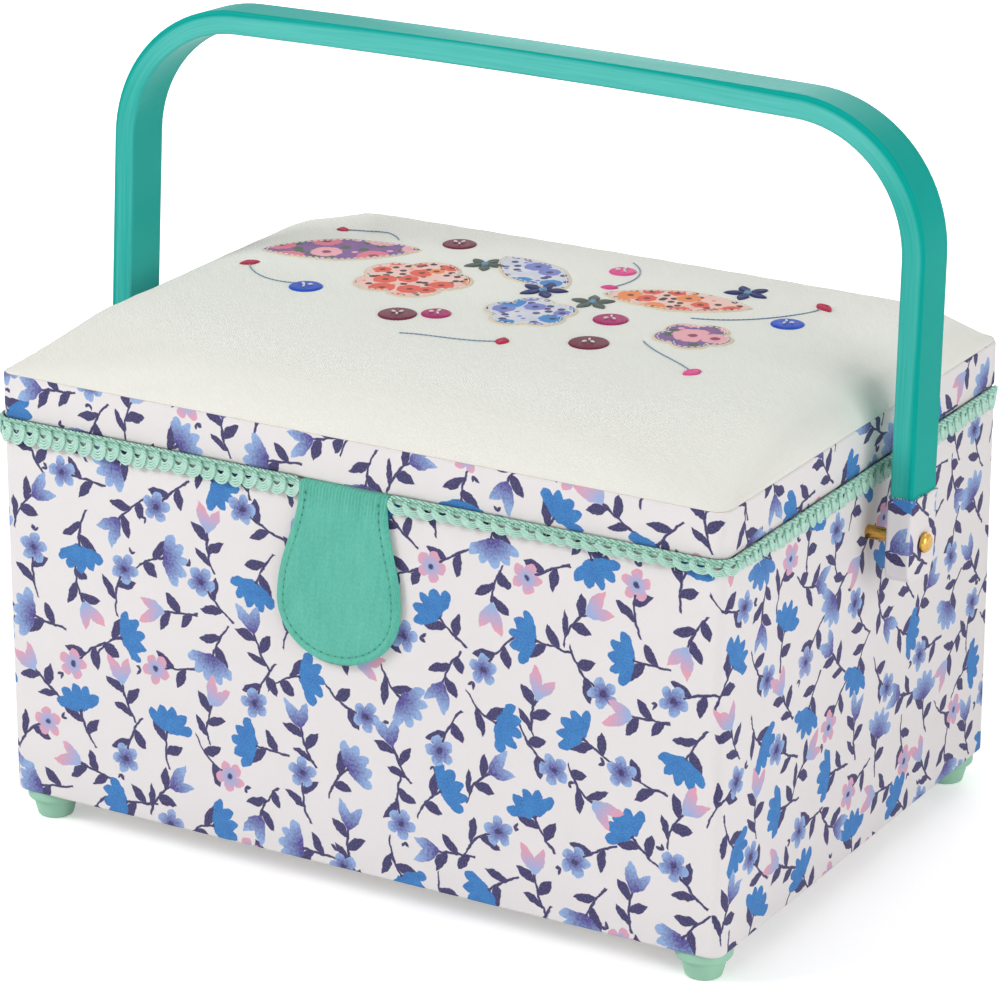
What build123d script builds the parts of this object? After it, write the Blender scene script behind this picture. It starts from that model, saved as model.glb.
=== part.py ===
from build123d import *
import math
import os

# A covered sewing box: a board carcass in printed cotton, a hinged lid with a padded top, a braid
# under the lid's edge, a magnetic tab, a swinging carrying handle and a lift-out tray.
# Millimetres. X to the right, -Y to the front, +Z up. The origin is on the table, under the middle.

# ---- carcass ------------------------------------------------------------------------------
BOX_WIDTH = 320.0            # outside of the cloth, left to right
BOX_DEPTH = 236.0            # outside of the cloth, front to back
WALL_HEIGHT = 156.8          # underside of the box to the top edge of its walls
CORNER_RADIUS = 6.0          # upright corners, outside of the cloth
BOARD = 5.0                  # wall and base board
CLOTH = 0.6                  # printed cotton glued to the boards
HEM_WIDTH = 16.0             # cotton turned in under the base
LINING = 1.6                 # quilted lining on the walls
FLOOR_PAD = 3.0              # padded lining on the base

# ---- feet ---------------------------------------------------------------------------------
FOOT_HEIGHT = 12.5
FOOT_FLANGE_RADIUS = 11.0
FOOT_FLANGE_HEIGHT = 4.8
FOOT_STUD_RADIUS = 9.0       # where the stud meets the flange
FOOT_TREAD_RADIUS = 7.0      # where the stud meets the table
FOOT_INSET = 1.0             # flange edge to the side of the box
FOOT_SCREW_RADIUS = 1.75
FOOT_SCREW_HEAD_RADIUS = 3.2
FOOT_SCREW_HEAD_HEIGHT = 2.0
FOOT_SCREW_RECESS = 4.0      # depth of the hole that hides the head

# ---- lid ----------------------------------------------------------------------------------
LID_GAP = 1.2                # between the walls and the lid's rim
LID_BAND_HEIGHT = 18.2       # rim and top board together
LID_BOARD = 4.0
LID_CROWN = 14.0             # padding above the band, at the middle
LID_CROWN_DROP = 3.6         # how much lower the crown's corners lie
LID_CROWN_EDGE = 7.5         # roundness of the padded edge
LID_CROWN_CORNER = 10.0      # roundness of the padded corner seen from above
LID_LINING = 1.2

# ---- braid --------------------------------------------------------------------------------
BRAID_DROP = 9.0             # how far it hangs below the rim
BRAID_THICKNESS = 2.5
BRAID_HEADER = 0.7           # its glued edge, between rim and wall
BRAID_HEADER_WIDTH = 5.0
BRAID_BACK_INSET = 6.0       # where it stops short of the back corner

# ---- fastening tab ------------------------------------------------------------------------
TAB_NECK_WIDTH = 39.0
TAB_BELLY_WIDTH = 55.2
TAB_LENGTH = 72.0
TAB_BELLY_DROP = 48.0        # from the top to the widest place
TAB_SWAY = 0.42              # how long the neck stays straight before it swells, as a share
TAB_ROUNDING = 0.56          # fullness of the belly's lower curve, near a circle's 0.55
TAB_THICKNESS = 2.8
TAB_CLOTH = 0.7
TAB_SEAM = 3.5               # stitched edge outside the stiffener
TAB_ROOT_THICKNESS = 0.8     # glued end, between rim and wall
MAGNET_RADIUS = 6.0
MAGNET_THICKNESS = 1.2
MAGNET_DROP = 52.0           # from the tab's top to the magnet's middle
KEEPER_RADIUS = 8.0
KEEPER_THICKNESS = 1.0

# ---- carrying handle ----------------------------------------------------------------------
PIVOT_DROP = 24.6            # from the walls' top edge
HANDLE_RISE = 165.5          # pivot to the top face of the grip, at its ends
HANDLE_ARCH = 2.5            # how much the grip's middle stands above its ends
HANDLE_THICKNESS = 9.5       # seen from the front
HANDLE_DEPTH = 21.5          # seen from the side
HANDLE_SPLAY = -1.5          # how much each leg leans out over its height, in when negative
HANDLE_CORNER_RADIUS = 58.0
HANDLE_EDGE = 1.3
HANDLE_LEAN = 3.6            # degrees that it stands back from upright
LEG_END_DROP = 14.0          # pivot to the end of the leg
SLEEVE_CLOTH = 0.7
SLEEVE_TOP_RISE = 16.0       # pivot to the sleeve's open edge
SLEEVE_CORNER_RADIUS = 4.0
SPACER_LENGTH = 12.0
SPACER_RADIUS = 2.7
PIVOT_RADIUS = 2.0
PIVOT_HEAD_RADIUS = 4.0
PIVOT_HEAD_HEIGHT = 2.6
NUT_FLANGE_RADIUS = 8.0
NUT_FLANGE_THICKNESS = 1.2
NUT_BARREL_RADIUS = 3.2

# ---- hinges -------------------------------------------------------------------------------
HINGE_LENGTH = 30.0
HINGE_CENTRE_X = 95.0
HINGE_LEAF_HEIGHT = 13.5     # from the pin's axis
HINGE_LEAF = 1.0
HINGE_KNUCKLE_RADIUS = 2.5
HINGE_PIN_RADIUS = 1.2
HINGE_SCREW_SPACING = 18.0
HINGE_SCREW_DROP = 9.0       # from the pin's axis
HINGE_SCREW_RADIUS = 1.0
HINGE_SCREW_HEAD_RADIUS = 2.1
HINGE_SCREW_HEAD_HEIGHT = 1.0
HINGE_SCREW_LENGTH = 4.5

# ---- tray and fittings inside -------------------------------------------------------------
TRAY_HEIGHT = 34.0
TRAY_WALL = 1.8
TRAY_CORNER_RADIUS = 8.0
TRAY_CLEARANCE = 3.0         # to the lining, on each side
TRAY_TOP_DROP = 12.0         # from the walls' top edge to the tray's top
TRAY_LIP = 1.6               # how far the rolled edge stands out
TRAY_LIP_HEIGHT = 2.5
TRAY_SIDE_COLUMN = 84.0      # width of the left and right compartments
TRAY_POCKET_RADIUS = 4.0
LEDGE_WIDTH = 10.0
LEDGE_HEIGHT = 10.0
LEDGE_END_GAP = 12.0
PINCUSHION_WIDTH = 90.0
PINCUSHION_DEPTH = 60.0
PINCUSHION_THICKNESS = 9.0
PINCUSHION_CORNER = 8.0
POCKET_WIDTH = 250.0
POCKET_DEPTH = 85.0
POCKET_THICKNESS = 1.5
LID_FITTING_MARGIN = 12.0    # pincushion and pocket to the lid's inner front and back

# ---- clearances ---------------------------------------------------------------------------
MOVING_GAP = 0.35            # between a moving piece and what it passes
RUNNING_CLEARANCE = 0.05     # radial, on pins and shanks
REACH = 50.0                 # how far a cutting tool runs past what it cuts

# ---- places worked out from the sizes above -------------------------------------------------
BOX_BOTTOM = FOOT_HEIGHT
WALL_TOP = BOX_BOTTOM + WALL_HEIGHT
CORE_WIDTH = BOX_WIDTH - 2 * CLOTH
CORE_DEPTH = BOX_DEPTH - 2 * CLOTH
CORE_RADIUS = CORNER_RADIUS - CLOTH
INNER_WIDTH = CORE_WIDTH - 2 * BOARD
INNER_DEPTH = CORE_DEPTH - 2 * BOARD
ROOM_WIDTH = INNER_WIDTH - 2 * LINING
ROOM_DEPTH = INNER_DEPTH - 2 * LINING
BOARD_BOTTOM = BOX_BOTTOM + CLOTH
BOARD_TOP = WALL_TOP - CLOTH
FLOOR = BOARD_BOTTOM + BOARD
LID_BOTTOM = WALL_TOP + LID_GAP
BAND_TOP = LID_BOTTOM + LID_BAND_HEIGHT
RIM_TOP = BAND_TOP - LID_BOARD
SIDE = BOX_WIDTH / 2
FRONT = -BOX_DEPTH / 2
BACK = BOX_DEPTH / 2
PIVOT_Z = WALL_TOP - PIVOT_DROP
HINGE_Y = BACK + MOVING_GAP + HINGE_KNUCKLE_RADIUS
HINGE_Z = WALL_TOP + LID_GAP / 2
FOOT_X = SIDE - FOOT_INSET - FOOT_FLANGE_RADIUS
FOOT_Y = BACK - FOOT_INSET - FOOT_FLANGE_RADIUS
TAB_BACK = FRONT - MOVING_GAP
TAB_MIDDLE = TAB_BACK - TAB_THICKNESS / 2
TAB_TOP = LID_BOTTOM
TAB_AXIS_Z = TAB_TOP - TAB_THICKNESS / 2
MAGNET_Z = TAB_TOP - MAGNET_DROP
LEG_INNER = SIDE + SPACER_LENGTH + MOVING_GAP + SLEEVE_CLOTH
LEG_OUTER = LEG_INNER + HANDLE_THICKNESS
SLEEVE_OUTER = LEG_OUTER + SLEEVE_CLOTH
SLEEVE_TOP = PIVOT_Z + SLEEVE_TOP_RISE
LEG_END = PIVOT_Z - LEG_END_DROP
TRAY_TOP = WALL_TOP - TRAY_TOP_DROP
TRAY_BOTTOM = TRAY_TOP - TRAY_HEIGHT
TRAY_WIDTH = ROOM_WIDTH - 2 * TRAY_CLEARANCE - 2 * TRAY_LIP
TRAY_DEPTH = ROOM_DEPTH - 2 * TRAY_CLEARANCE - 2 * TRAY_LIP
LID_ROOM_WIDTH = INNER_WIDTH - 2 * LID_LINING
LID_ROOM_DEPTH = INNER_DEPTH - 2 * LID_LINING
LID_CEILING = RIM_TOP - LID_LINING
SIDES = {"left": -1, "right": 1}
ENDS = {"front": -1, "back": 1}


# ---- shared shapes --------------------------------------------------------------------------
def block(width, depth, bottom, top, radius=0.0):
    """Upright block on the box's middle line, with rounded upright corners."""
    outline = RectangleRounded(width, depth, radius) if radius > 0 else Rectangle(width, depth)
    return Pos(0, 0, bottom) * extrude(outline, amount=top - bottom)


def slab(x_range, y_range, z_range):
    """Square-edged block between two limits on each axis."""
    sizes = [high - low for low, high in (x_range, y_range, z_range)]
    middles = [(low + high) / 2 for low, high in (x_range, y_range, z_range)]
    return Pos(*middles) * Box(*sizes)


def rod_x(radius, start, end, y, z):
    """Round bar along X."""
    return Pos((start + end) / 2, y, z) * Rot(0, 90, 0) * Cylinder(radius, abs(end - start))


def rod_y(radius, start, end, x, z):
    """Round bar along Y."""
    return Pos(x, (start + end) / 2, z) * Rot(90, 0, 0) * Cylinder(radius, abs(end - start))


def rod_z(radius, start, end, x, y):
    """Round bar along Z."""
    return Pos(x, y, (start + end) / 2) * Cylinder(radius, abs(end - start))


def group(pieces):
    """Like pieces that share one node and stay separate solids."""
    return Compound(children=list(pieces))


def mirrored(piece):
    """The same piece on the other side of the box."""
    return mirror(piece, Plane.YZ)


# ---- bores that more than one piece shares --------------------------------------------------
def pivot_bores(radius):
    """Both handle bores, from the inside of the walls outwards."""
    start = INNER_WIDTH / 2 - LINING
    return [rod_x(radius, side * start, side * (SLEEVE_OUTER + REACH), 0, PIVOT_Z) for side in (-1, 1)]


def foot_places():
    return [(x * FOOT_X, y * FOOT_Y) for x in (-1, 1) for y in (-1, 1)]


def foot_screw_bores():
    radius = FOOT_SCREW_RADIUS + RUNNING_CLEARANCE
    return [rod_z(radius, BOX_BOTTOM - REACH, FLOOR, x, y) for x, y in foot_places()]


def hinge_screw_places(level):
    """Screw places of both hinges: level -1 is the wall's leaf, 1 the lid's."""
    z = HINGE_Z + level * HINGE_SCREW_DROP
    half = HINGE_SCREW_SPACING / 2
    return [(hinge * HINGE_CENTRE_X + step, z) for hinge in (-1, 1) for step in (-half, half)]


def hinge_screw_bores(level):
    radius = HINGE_SCREW_RADIUS + RUNNING_CLEARANCE
    end = BACK + HINGE_LEAF - HINGE_SCREW_LENGTH - RUNNING_CLEARANCE
    return [rod_y(radius, end, BACK + REACH, x, z) for x, z in hinge_screw_places(level)]


# ---- carcass ----------------------------------------------------------------------------------
def wall_core():
    return block(CORE_WIDTH, CORE_DEPTH, BOARD_BOTTOM, BOARD_TOP, CORE_RADIUS)


def end_panel(end):
    """Front or back board, which runs the full width and carries the rounded corners."""
    inner = end * INNER_DEPTH / 2
    outer = end * BOX_DEPTH / 2
    panel = wall_core() & slab((-SIDE, SIDE), sorted((inner, outer)), (BOX_BOTTOM, WALL_TOP))
    if end < 0:
        panel -= rod_y(KEEPER_RADIUS, FRONT, FRONT + CLOTH + KEEPER_THICKNESS, 0, MAGNET_Z)
    else:
        panel -= hinge_screw_bores(-1)
    return panel


def side_panel(side):
    """Left or right board, between the front and back ones, bored for the handle's nut."""
    inner = side * INNER_WIDTH / 2
    outer = side * CORE_WIDTH / 2
    y_range = (-INNER_DEPTH / 2, INNER_DEPTH / 2)
    panel = wall_core() & slab(sorted((inner, outer)), y_range, (BOARD_BOTTOM, BOARD_TOP))
    panel -= rod_x(NUT_BARREL_RADIUS, inner, outer, 0, PIVOT_Z)
    panel -= rod_x(NUT_FLANGE_RADIUS, inner, inner + side * NUT_FLANGE_THICKNESS, 0, PIVOT_Z)
    return panel


def base_panel():
    return block(INNER_WIDTH, INNER_DEPTH, BOARD_BOTTOM, FLOOR) - foot_screw_bores()


def outer_cover():
    """Printed cotton round the walls, turned over their top edge and in under the base."""
    skin = block(BOX_WIDTH, BOX_DEPTH, BOX_BOTTOM, WALL_TOP, CORNER_RADIUS) - wall_core()
    skin -= block(INNER_WIDTH, INNER_DEPTH, BOARD_TOP - REACH, WALL_TOP + REACH)
    hem = 2 * HEM_WIDTH
    skin -= block(BOX_WIDTH - hem, BOX_DEPTH - hem, BOX_BOTTOM - REACH, BOARD_BOTTOM)
    skin -= pivot_bores(PIVOT_RADIUS + RUNNING_CLEARANCE)
    skin -= foot_screw_bores()
    return skin - hinge_screw_bores(-1)


def bottom_sheet():
    """Paper that closes the underside inside the turned hem."""
    hem = 2 * HEM_WIDTH
    return block(BOX_WIDTH - hem, BOX_DEPTH - hem, BOX_BOTTOM, BOARD_BOTTOM)


def wall_lining():
    ring = block(INNER_WIDTH, INNER_DEPTH, FLOOR, BOARD_TOP)
    return ring - block(ROOM_WIDTH, ROOM_DEPTH, FLOOR, BOARD_TOP)


def floor_lining():
    return block(ROOM_WIDTH, ROOM_DEPTH, FLOOR, FLOOR + FLOOR_PAD)


def tray_ledge(side):
    """Covered strip on a side wall, which the tray stands on."""
    wall = side * ROOM_WIDTH / 2
    inner = side * (ROOM_WIDTH / 2 - LEDGE_WIDTH)
    half = ROOM_DEPTH / 2 - LEDGE_END_GAP
    return slab(sorted((inner, wall)), (-half, half), (TRAY_BOTTOM - LEDGE_HEIGHT, TRAY_BOTTOM))


def keeper():
    """Steel disc let into the front board, behind the cotton."""
    return rod_y(KEEPER_RADIUS, FRONT + CLOTH, FRONT + CLOTH + KEEPER_THICKNESS, 0, MAGNET_Z)


# ---- feet ---------------------------------------------------------------------------------------
def foot(x, y):
    """Turned foot: a flange against the base over a tapering stud."""
    flange_bottom = FOOT_HEIGHT - FOOT_FLANGE_HEIGHT
    flange = rod_z(FOOT_FLANGE_RADIUS, flange_bottom, FOOT_HEIGHT, 0, 0)
    flange = fillet(flange.edges().group_by(Axis.Z)[0], FOOT_FLANGE_HEIGHT / 3)
    stud = Pos(0, 0, flange_bottom / 2) * Cone(FOOT_TREAD_RADIUS, FOOT_STUD_RADIUS, flange_bottom)
    stud = fillet(stud.edges().group_by(Axis.Z)[0], FOOT_FLANGE_HEIGHT / 4)
    body = flange + stud
    body -= rod_z(FOOT_SCREW_RADIUS + RUNNING_CLEARANCE, -REACH, REACH, 0, 0)
    body -= rod_z(FOOT_SCREW_HEAD_RADIUS + RUNNING_CLEARANCE, -REACH, FOOT_SCREW_RECESS, 0, 0)
    return Pos(x, y, 0) * body


def foot_screw(x, y):
    """Pan-head screw from the foot's hollow up into the base board."""
    head_bottom = FOOT_SCREW_RECESS - FOOT_SCREW_HEAD_HEIGHT
    head = rod_z(FOOT_SCREW_HEAD_RADIUS, head_bottom, FOOT_SCREW_RECESS, x, y)
    shank = rod_z(FOOT_SCREW_RADIUS, FOOT_SCREW_RECESS, FLOOR - CLOTH, x, y)
    return head + shank


# ---- hinges ---------------------------------------------------------------------------------------
def knuckle_spans(level):
    """The wall's leaf has the two outer knuckles, the lid's leaf the middle one."""
    third = HINGE_LENGTH / 3
    half_gap = MOVING_GAP / 2
    half = HINGE_LENGTH / 2
    if level < 0:
        return [(-half, -half + third - half_gap), (half - third + half_gap, half)]
    return [(-third / 2 + half_gap, third / 2 - half_gap)]


def hinge_leaf(side, level):
    """Brass plate with its knuckles, screwed over the cotton. Level -1 is the wall's, 1 the lid's."""
    half = HINGE_LENGTH / 2
    leaf_y = (BACK, BACK + HINGE_LEAF)
    edge = HINGE_Z + level * HINGE_LEAF_HEIGHT
    leaf = slab((-half, half), leaf_y, sorted((HINGE_Z, edge)))
    clear = HINGE_KNUCKLE_RADIUS + MOVING_GAP
    for start, end in knuckle_spans(-level):
        span = (start - MOVING_GAP, end + MOVING_GAP)
        leaf -= slab(span, (BACK - clear, BACK + clear), (HINGE_Z - clear, HINGE_Z + clear))
    for start, end in knuckle_spans(level):
        leaf += rod_x(HINGE_KNUCKLE_RADIUS, start, end, HINGE_Y, HINGE_Z)
    leaf -= rod_x(HINGE_PIN_RADIUS + RUNNING_CLEARANCE, -half, half, HINGE_Y, HINGE_Z)
    leaf = Pos(side * HINGE_CENTRE_X, 0, 0) * leaf
    return leaf - hinge_screw_bores(level)


def hinge_pin(side):
    middle = side * HINGE_CENTRE_X
    half = HINGE_LENGTH / 2
    return rod_x(HINGE_PIN_RADIUS, middle - half, middle + half, HINGE_Y, HINGE_Z)


def hinge_screw(x, z):
    """Round-head screw through the leaf into the board."""
    seat = BACK + HINGE_LEAF
    head = rod_y(HINGE_SCREW_HEAD_RADIUS, seat, seat + HINGE_SCREW_HEAD_HEIGHT, x, z)
    return head + rod_y(HINGE_SCREW_RADIUS, seat - HINGE_SCREW_LENGTH, seat, x, z)


# ---- lid --------------------------------------------------------------------------------------------
def lid_core():
    return block(CORE_WIDTH, CORE_DEPTH, LID_BOTTOM, BAND_TOP, CORE_RADIUS)


def lid_end_rim(end):
    """Front or back strip of the lid's frame, which carries the rounded corners."""
    inner = end * INNER_DEPTH / 2
    outer = end * BOX_DEPTH / 2
    strip = lid_core() & slab((-SIDE, SIDE), sorted((inner, outer)), (LID_BOTTOM, RIM_TOP))
    return strip - hinge_screw_bores(1) if end > 0 else strip


def lid_side_rim(side):
    inner = side * INNER_WIDTH / 2
    outer = side * CORE_WIDTH / 2
    y_range = (-INNER_DEPTH / 2, INNER_DEPTH / 2)
    return lid_core() & slab(sorted((inner, outer)), y_range, (LID_BOTTOM, RIM_TOP))


def lid_board():
    """Top board, over the frame."""
    return block(CORE_WIDTH, CORE_DEPTH, RIM_TOP, BAND_TOP, CORE_RADIUS)


def lid_band():
    """Printed cotton round the lid's frame."""
    ring = block(BOX_WIDTH, BOX_DEPTH, LID_BOTTOM, BAND_TOP, CORNER_RADIUS) - lid_core()
    return ring - hinge_screw_bores(1)


def crown(width, depth, peak, corner, edge):
    """Padded form: an upright block under a shallow dome, rounded along its upper edge."""
    half_diagonal = math.hypot(width, depth) / 2
    dome_radius = half_diagonal**2 / (2 * LID_CROWN_DROP)
    dome = Pos(0, 0, peak - dome_radius) * Rot(90, 0, 0) * Sphere(dome_radius)
    pad = block(width, depth, BAND_TOP, peak + LID_CROWN_DROP, corner) & dome
    half_way = (BAND_TOP + peak - LID_CROWN_DROP) / 2
    upper = [e for e in pad.edges() if e.center().Z > half_way and e.geom_type != GeomType.LINE]
    return fillet(upper, edge)


def lid_padding():
    width = CORE_WIDTH - 2 * CLOTH
    depth = CORE_DEPTH - 2 * CLOTH
    peak = BAND_TOP + LID_CROWN - CLOTH
    return crown(width, depth, peak, LID_CROWN_CORNER - CLOTH, LID_CROWN_EDGE - CLOTH)


def lid_top_cloth():
    """Plain cloth drawn over the padding."""
    peak = BAND_TOP + LID_CROWN
    return crown(CORE_WIDTH, CORE_DEPTH, peak, LID_CROWN_CORNER, LID_CROWN_EDGE) - lid_padding()


def lid_lining():
    """Lining under the top board and down the inside of the frame."""
    pan = block(INNER_WIDTH, INNER_DEPTH, LID_BOTTOM, RIM_TOP)
    return pan - block(LID_ROOM_WIDTH, LID_ROOM_DEPTH, LID_BOTTOM - REACH, LID_CEILING)


def pincushion():
    """Stuffed pad on the lid's lining, towards the front."""
    middle = -LID_ROOM_DEPTH / 2 + LID_FITTING_MARGIN + PINCUSHION_DEPTH / 2
    low = LID_CEILING - PINCUSHION_THICKNESS
    pad = block(PINCUSHION_WIDTH, PINCUSHION_DEPTH, low, LID_CEILING, PINCUSHION_CORNER)
    pad = fillet(pad.edges().group_by(Axis.Z)[0], PINCUSHION_THICKNESS / 2)
    return Pos(0, middle, 0) * pad


def lid_pocket():
    """Elastic-topped pocket, lying flat and empty on the lid's lining, towards the back."""
    middle = LID_ROOM_DEPTH / 2 - LID_FITTING_MARGIN - POCKET_DEPTH / 2
    return Pos(0, middle, 0) * block(POCKET_WIDTH, POCKET_DEPTH, LID_CEILING - POCKET_THICKNESS, LID_CEILING)


def front_braid(side):
    """Braid under the lid's front edge, from the tab to the corner: a glued header and the drop."""
    inner = TAB_NECK_WIDTH / 2 + 3 * MOVING_GAP
    outer = SIDE + MOVING_GAP
    x_range = sorted((side * inner, side * outer))
    header_x = sorted((side * inner, side * (outer - MOVING_GAP)))
    face = FRONT - MOVING_GAP
    drop = slab(x_range, (face - BRAID_THICKNESS, face), (LID_BOTTOM - BRAID_DROP, LID_BOTTOM))
    header_z = (LID_BOTTOM - BRAID_HEADER, LID_BOTTOM)
    return drop + slab(header_x, (face, FRONT + BRAID_HEADER_WIDTH), header_z)


def side_braid(side):
    """Braid under the lid's side edge, which closes the front corner and stops before the back."""
    face = side * (SIDE + MOVING_GAP)
    outer = side * (SIDE + MOVING_GAP + BRAID_THICKNESS)
    y_range = (FRONT - MOVING_GAP - BRAID_THICKNESS, BACK - BRAID_BACK_INSET)
    drop = slab(sorted((face, outer)), y_range, (LID_BOTTOM - BRAID_DROP, LID_BOTTOM))
    header_x = sorted((side * (SIDE - BRAID_HEADER_WIDTH), face))
    header_y = (FRONT + BRAID_HEADER_WIDTH, BACK - BRAID_BACK_INSET)
    return drop + slab(header_x, header_y, (LID_BOTTOM - BRAID_HEADER, LID_BOTTOM))


def tab_root():
    """Glued end of the tab, under the lid's front strip."""
    half = TAB_NECK_WIDTH / 2
    return slab((-half, half), (FRONT, FRONT + CLOTH + BOARD), (LID_BOTTOM - TAB_ROOT_THICKNESS, LID_BOTTOM))


# ---- tab ----------------------------------------------------------------------------------------------
def tab_outline(inset):
    """Keyhole outline: a straight neck that swells into a rounded belly."""
    neck = TAB_NECK_WIDTH / 2 - inset
    belly = TAB_BELLY_WIDTH / 2 - inset
    top = TAB_AXIS_Z - inset
    wide = TAB_TOP - TAB_BELLY_DROP
    low = TAB_TOP - TAB_LENGTH + inset
    sway = TAB_SWAY * (TAB_AXIS_Z - wide)
    rounding = TAB_ROUNDING * (wide - low)
    edges = Polyline((-neck, top), (neck, top))
    for side in (1, -1):
        x_neck = side * neck
        x_belly = side * belly
        widest = (x_belly, wide)
        edges += Bezier((x_neck, top), (x_neck, top - sway), (x_belly, wide + sway), widest)
        edges += Bezier(widest, (x_belly, wide - rounding), (TAB_ROUNDING * x_belly, low), (0, low))
    return make_face(edges)


def tab_layer(inset, front, back):
    """One flat layer of the tab between two places in Y."""
    return Plane.XZ.offset(-back) * extrude(tab_outline(inset), amount=back - front)


def tab_stiffener():
    layer = tab_layer(TAB_SEAM, TAB_BACK - TAB_THICKNESS + TAB_CLOTH, TAB_BACK - TAB_CLOTH)
    magnet_start = TAB_BACK - TAB_CLOTH
    return layer - rod_y(MAGNET_RADIUS, magnet_start - MAGNET_THICKNESS, magnet_start, 0, MAGNET_Z)


def tab_magnet():
    start = TAB_BACK - TAB_CLOTH
    return rod_y(MAGNET_RADIUS, start - MAGNET_THICKNESS, start, 0, MAGNET_Z)


def tab_backing():
    """Lining side of the tab, inside the turned edge."""
    return tab_layer(CLOTH, TAB_BACK - TAB_CLOTH, TAB_BACK)


def tab_cover():
    """Face of the tab, turned round its edge, with the rounded fold at its top."""
    cover = tab_layer(0, TAB_BACK - TAB_THICKNESS, TAB_BACK)
    half = TAB_NECK_WIDTH / 2
    cover += rod_x(TAB_THICKNESS / 2, -half, half, TAB_MIDDLE, TAB_AXIS_Z)
    cover -= tab_backing()
    return cover - tab_layer(TAB_SEAM, TAB_BACK - TAB_THICKNESS + TAB_CLOTH, TAB_BACK - TAB_CLOTH)


# ---- carrying handle --------------------------------------------------------------------------------------
def handle_outline(inset):
    """Arched outline of the handle, drawn in by inset: straight leg ends, splayed legs, a bowed grip."""
    foot_x = LEG_OUTER - inset
    top_x = foot_x + HANDLE_SPLAY
    top_z = PIVOT_Z + HANDLE_RISE - inset
    end = LEG_END if inset == 0 else LEG_END - REACH
    arch = top_z + HANDLE_ARCH
    edges = Polyline((-foot_x, end), (foot_x, end))
    for side in (1, -1):
        edges += Polyline((side * foot_x, end), (side * foot_x, SLEEVE_TOP), (side * top_x, top_z))
    edges += ThreePointArc((-top_x, top_z), (0, arch), (top_x, top_z))
    face = make_face(edges)
    corners = face.vertices().group_by(Axis.Y)[-1]
    return fillet(corners, HANDLE_CORNER_RADIUS - inset)


def upright_handle():
    """Moulded handle, before it leans."""
    outline = handle_outline(0) - handle_outline(HANDLE_THICKNESS)
    body = Plane.XZ.offset(-HANDLE_DEPTH / 2) * extrude(outline, amount=HANDLE_DEPTH)
    ends = body.edges().filter_by(Axis.X).group_by(Axis.Z)[0]
    body = fillet(ends, SLEEVE_CORNER_RADIUS - SLEEVE_CLOTH)
    faces = body.faces().sort_by(Axis.Y)
    return fillet(faces[0].edges() + faces[-1].edges(), HANDLE_EDGE)


def leg_end(side, growth, top):
    """Block with a rounded bottom, that much larger all round than a leg end."""
    x_range = sorted((side * (LEG_INNER - growth), side * (LEG_OUTER + growth)))
    half = HANDLE_DEPTH / 2 + growth
    end = slab(x_range, (-half, half), (LEG_END - growth, top))
    low = end.edges().filter_by(Axis.X).group_by(Axis.Z)[0]
    return fillet(low, SLEEVE_CORNER_RADIUS - SLEEVE_CLOTH + growth)


def leaned(piece):
    """A piece of the upright handle, turned back about the pivots and bored for their screws."""
    turned = Pos(0, 0, PIVOT_Z) * Rot(-HANDLE_LEAN, 0, 0) * Pos(0, 0, -PIVOT_Z) * piece
    return turned - pivot_bores(PIVOT_RADIUS + RUNNING_CLEARANCE)


def handle_bail():
    return leaned(upright_handle())


def handle_sleeve(side):
    """Printed cotton folded round a leg end and open at the top."""
    return leaned(leg_end(side, SLEEVE_CLOTH, SLEEVE_TOP) - leg_end(side, 0, SLEEVE_TOP + REACH))


def pivot_spacer(side):
    """Brass tube that holds the leg clear of the wall."""
    tube = rod_x(SPACER_RADIUS, side * SIDE, side * (SIDE + SPACER_LENGTH), 0, PIVOT_Z)
    return tube - pivot_bores(PIVOT_RADIUS + RUNNING_CLEARANCE)


def pivot_screw(side):
    """Domed brass screw through sleeve, leg, spacer and wall into the nut."""
    seat = SLEEVE_OUTER + MOVING_GAP
    shank = rod_x(PIVOT_RADIUS, side * INNER_WIDTH / 2, side * seat, 0, PIVOT_Z)
    head = rod_x(PIVOT_HEAD_RADIUS, side * seat, side * (seat + PIVOT_HEAD_HEIGHT), 0, PIVOT_Z)
    crest = head.edges().sort_by(Axis.X)[-1 if side > 0 else 0]
    return shank + fillet(crest, PIVOT_HEAD_HEIGHT * 0.8)


def pivot_nut(side):
    """Flanged nut let into the wall board, behind the lining."""
    inner = side * INNER_WIDTH / 2
    outer = side * CORE_WIDTH / 2
    nut = rod_x(NUT_FLANGE_RADIUS, inner, inner + side * NUT_FLANGE_THICKNESS, 0, PIVOT_Z)
    nut += rod_x(NUT_BARREL_RADIUS, inner, outer, 0, PIVOT_Z)
    return nut - pivot_bores(PIVOT_RADIUS + RUNNING_CLEARANCE)


# ---- tray -----------------------------------------------------------------------------------------------
def tray_pockets():
    """Compartments as (middle x, middle y, width, depth): two, one and two from left to right."""
    deep = TRAY_DEPTH - 2 * TRAY_WALL
    half_deep = (deep - TRAY_WALL) / 2
    middle = TRAY_WIDTH - 2 * TRAY_SIDE_COLUMN - 4 * TRAY_WALL
    column_x = (middle + TRAY_SIDE_COLUMN) / 2 + TRAY_WALL
    row_y = (half_deep + TRAY_WALL) / 2
    corners = [(x * column_x, y * row_y, TRAY_SIDE_COLUMN, half_deep) for x in (-1, 1) for y in (-1, 1)]
    return corners + [(0, 0, middle, deep)]


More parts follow.
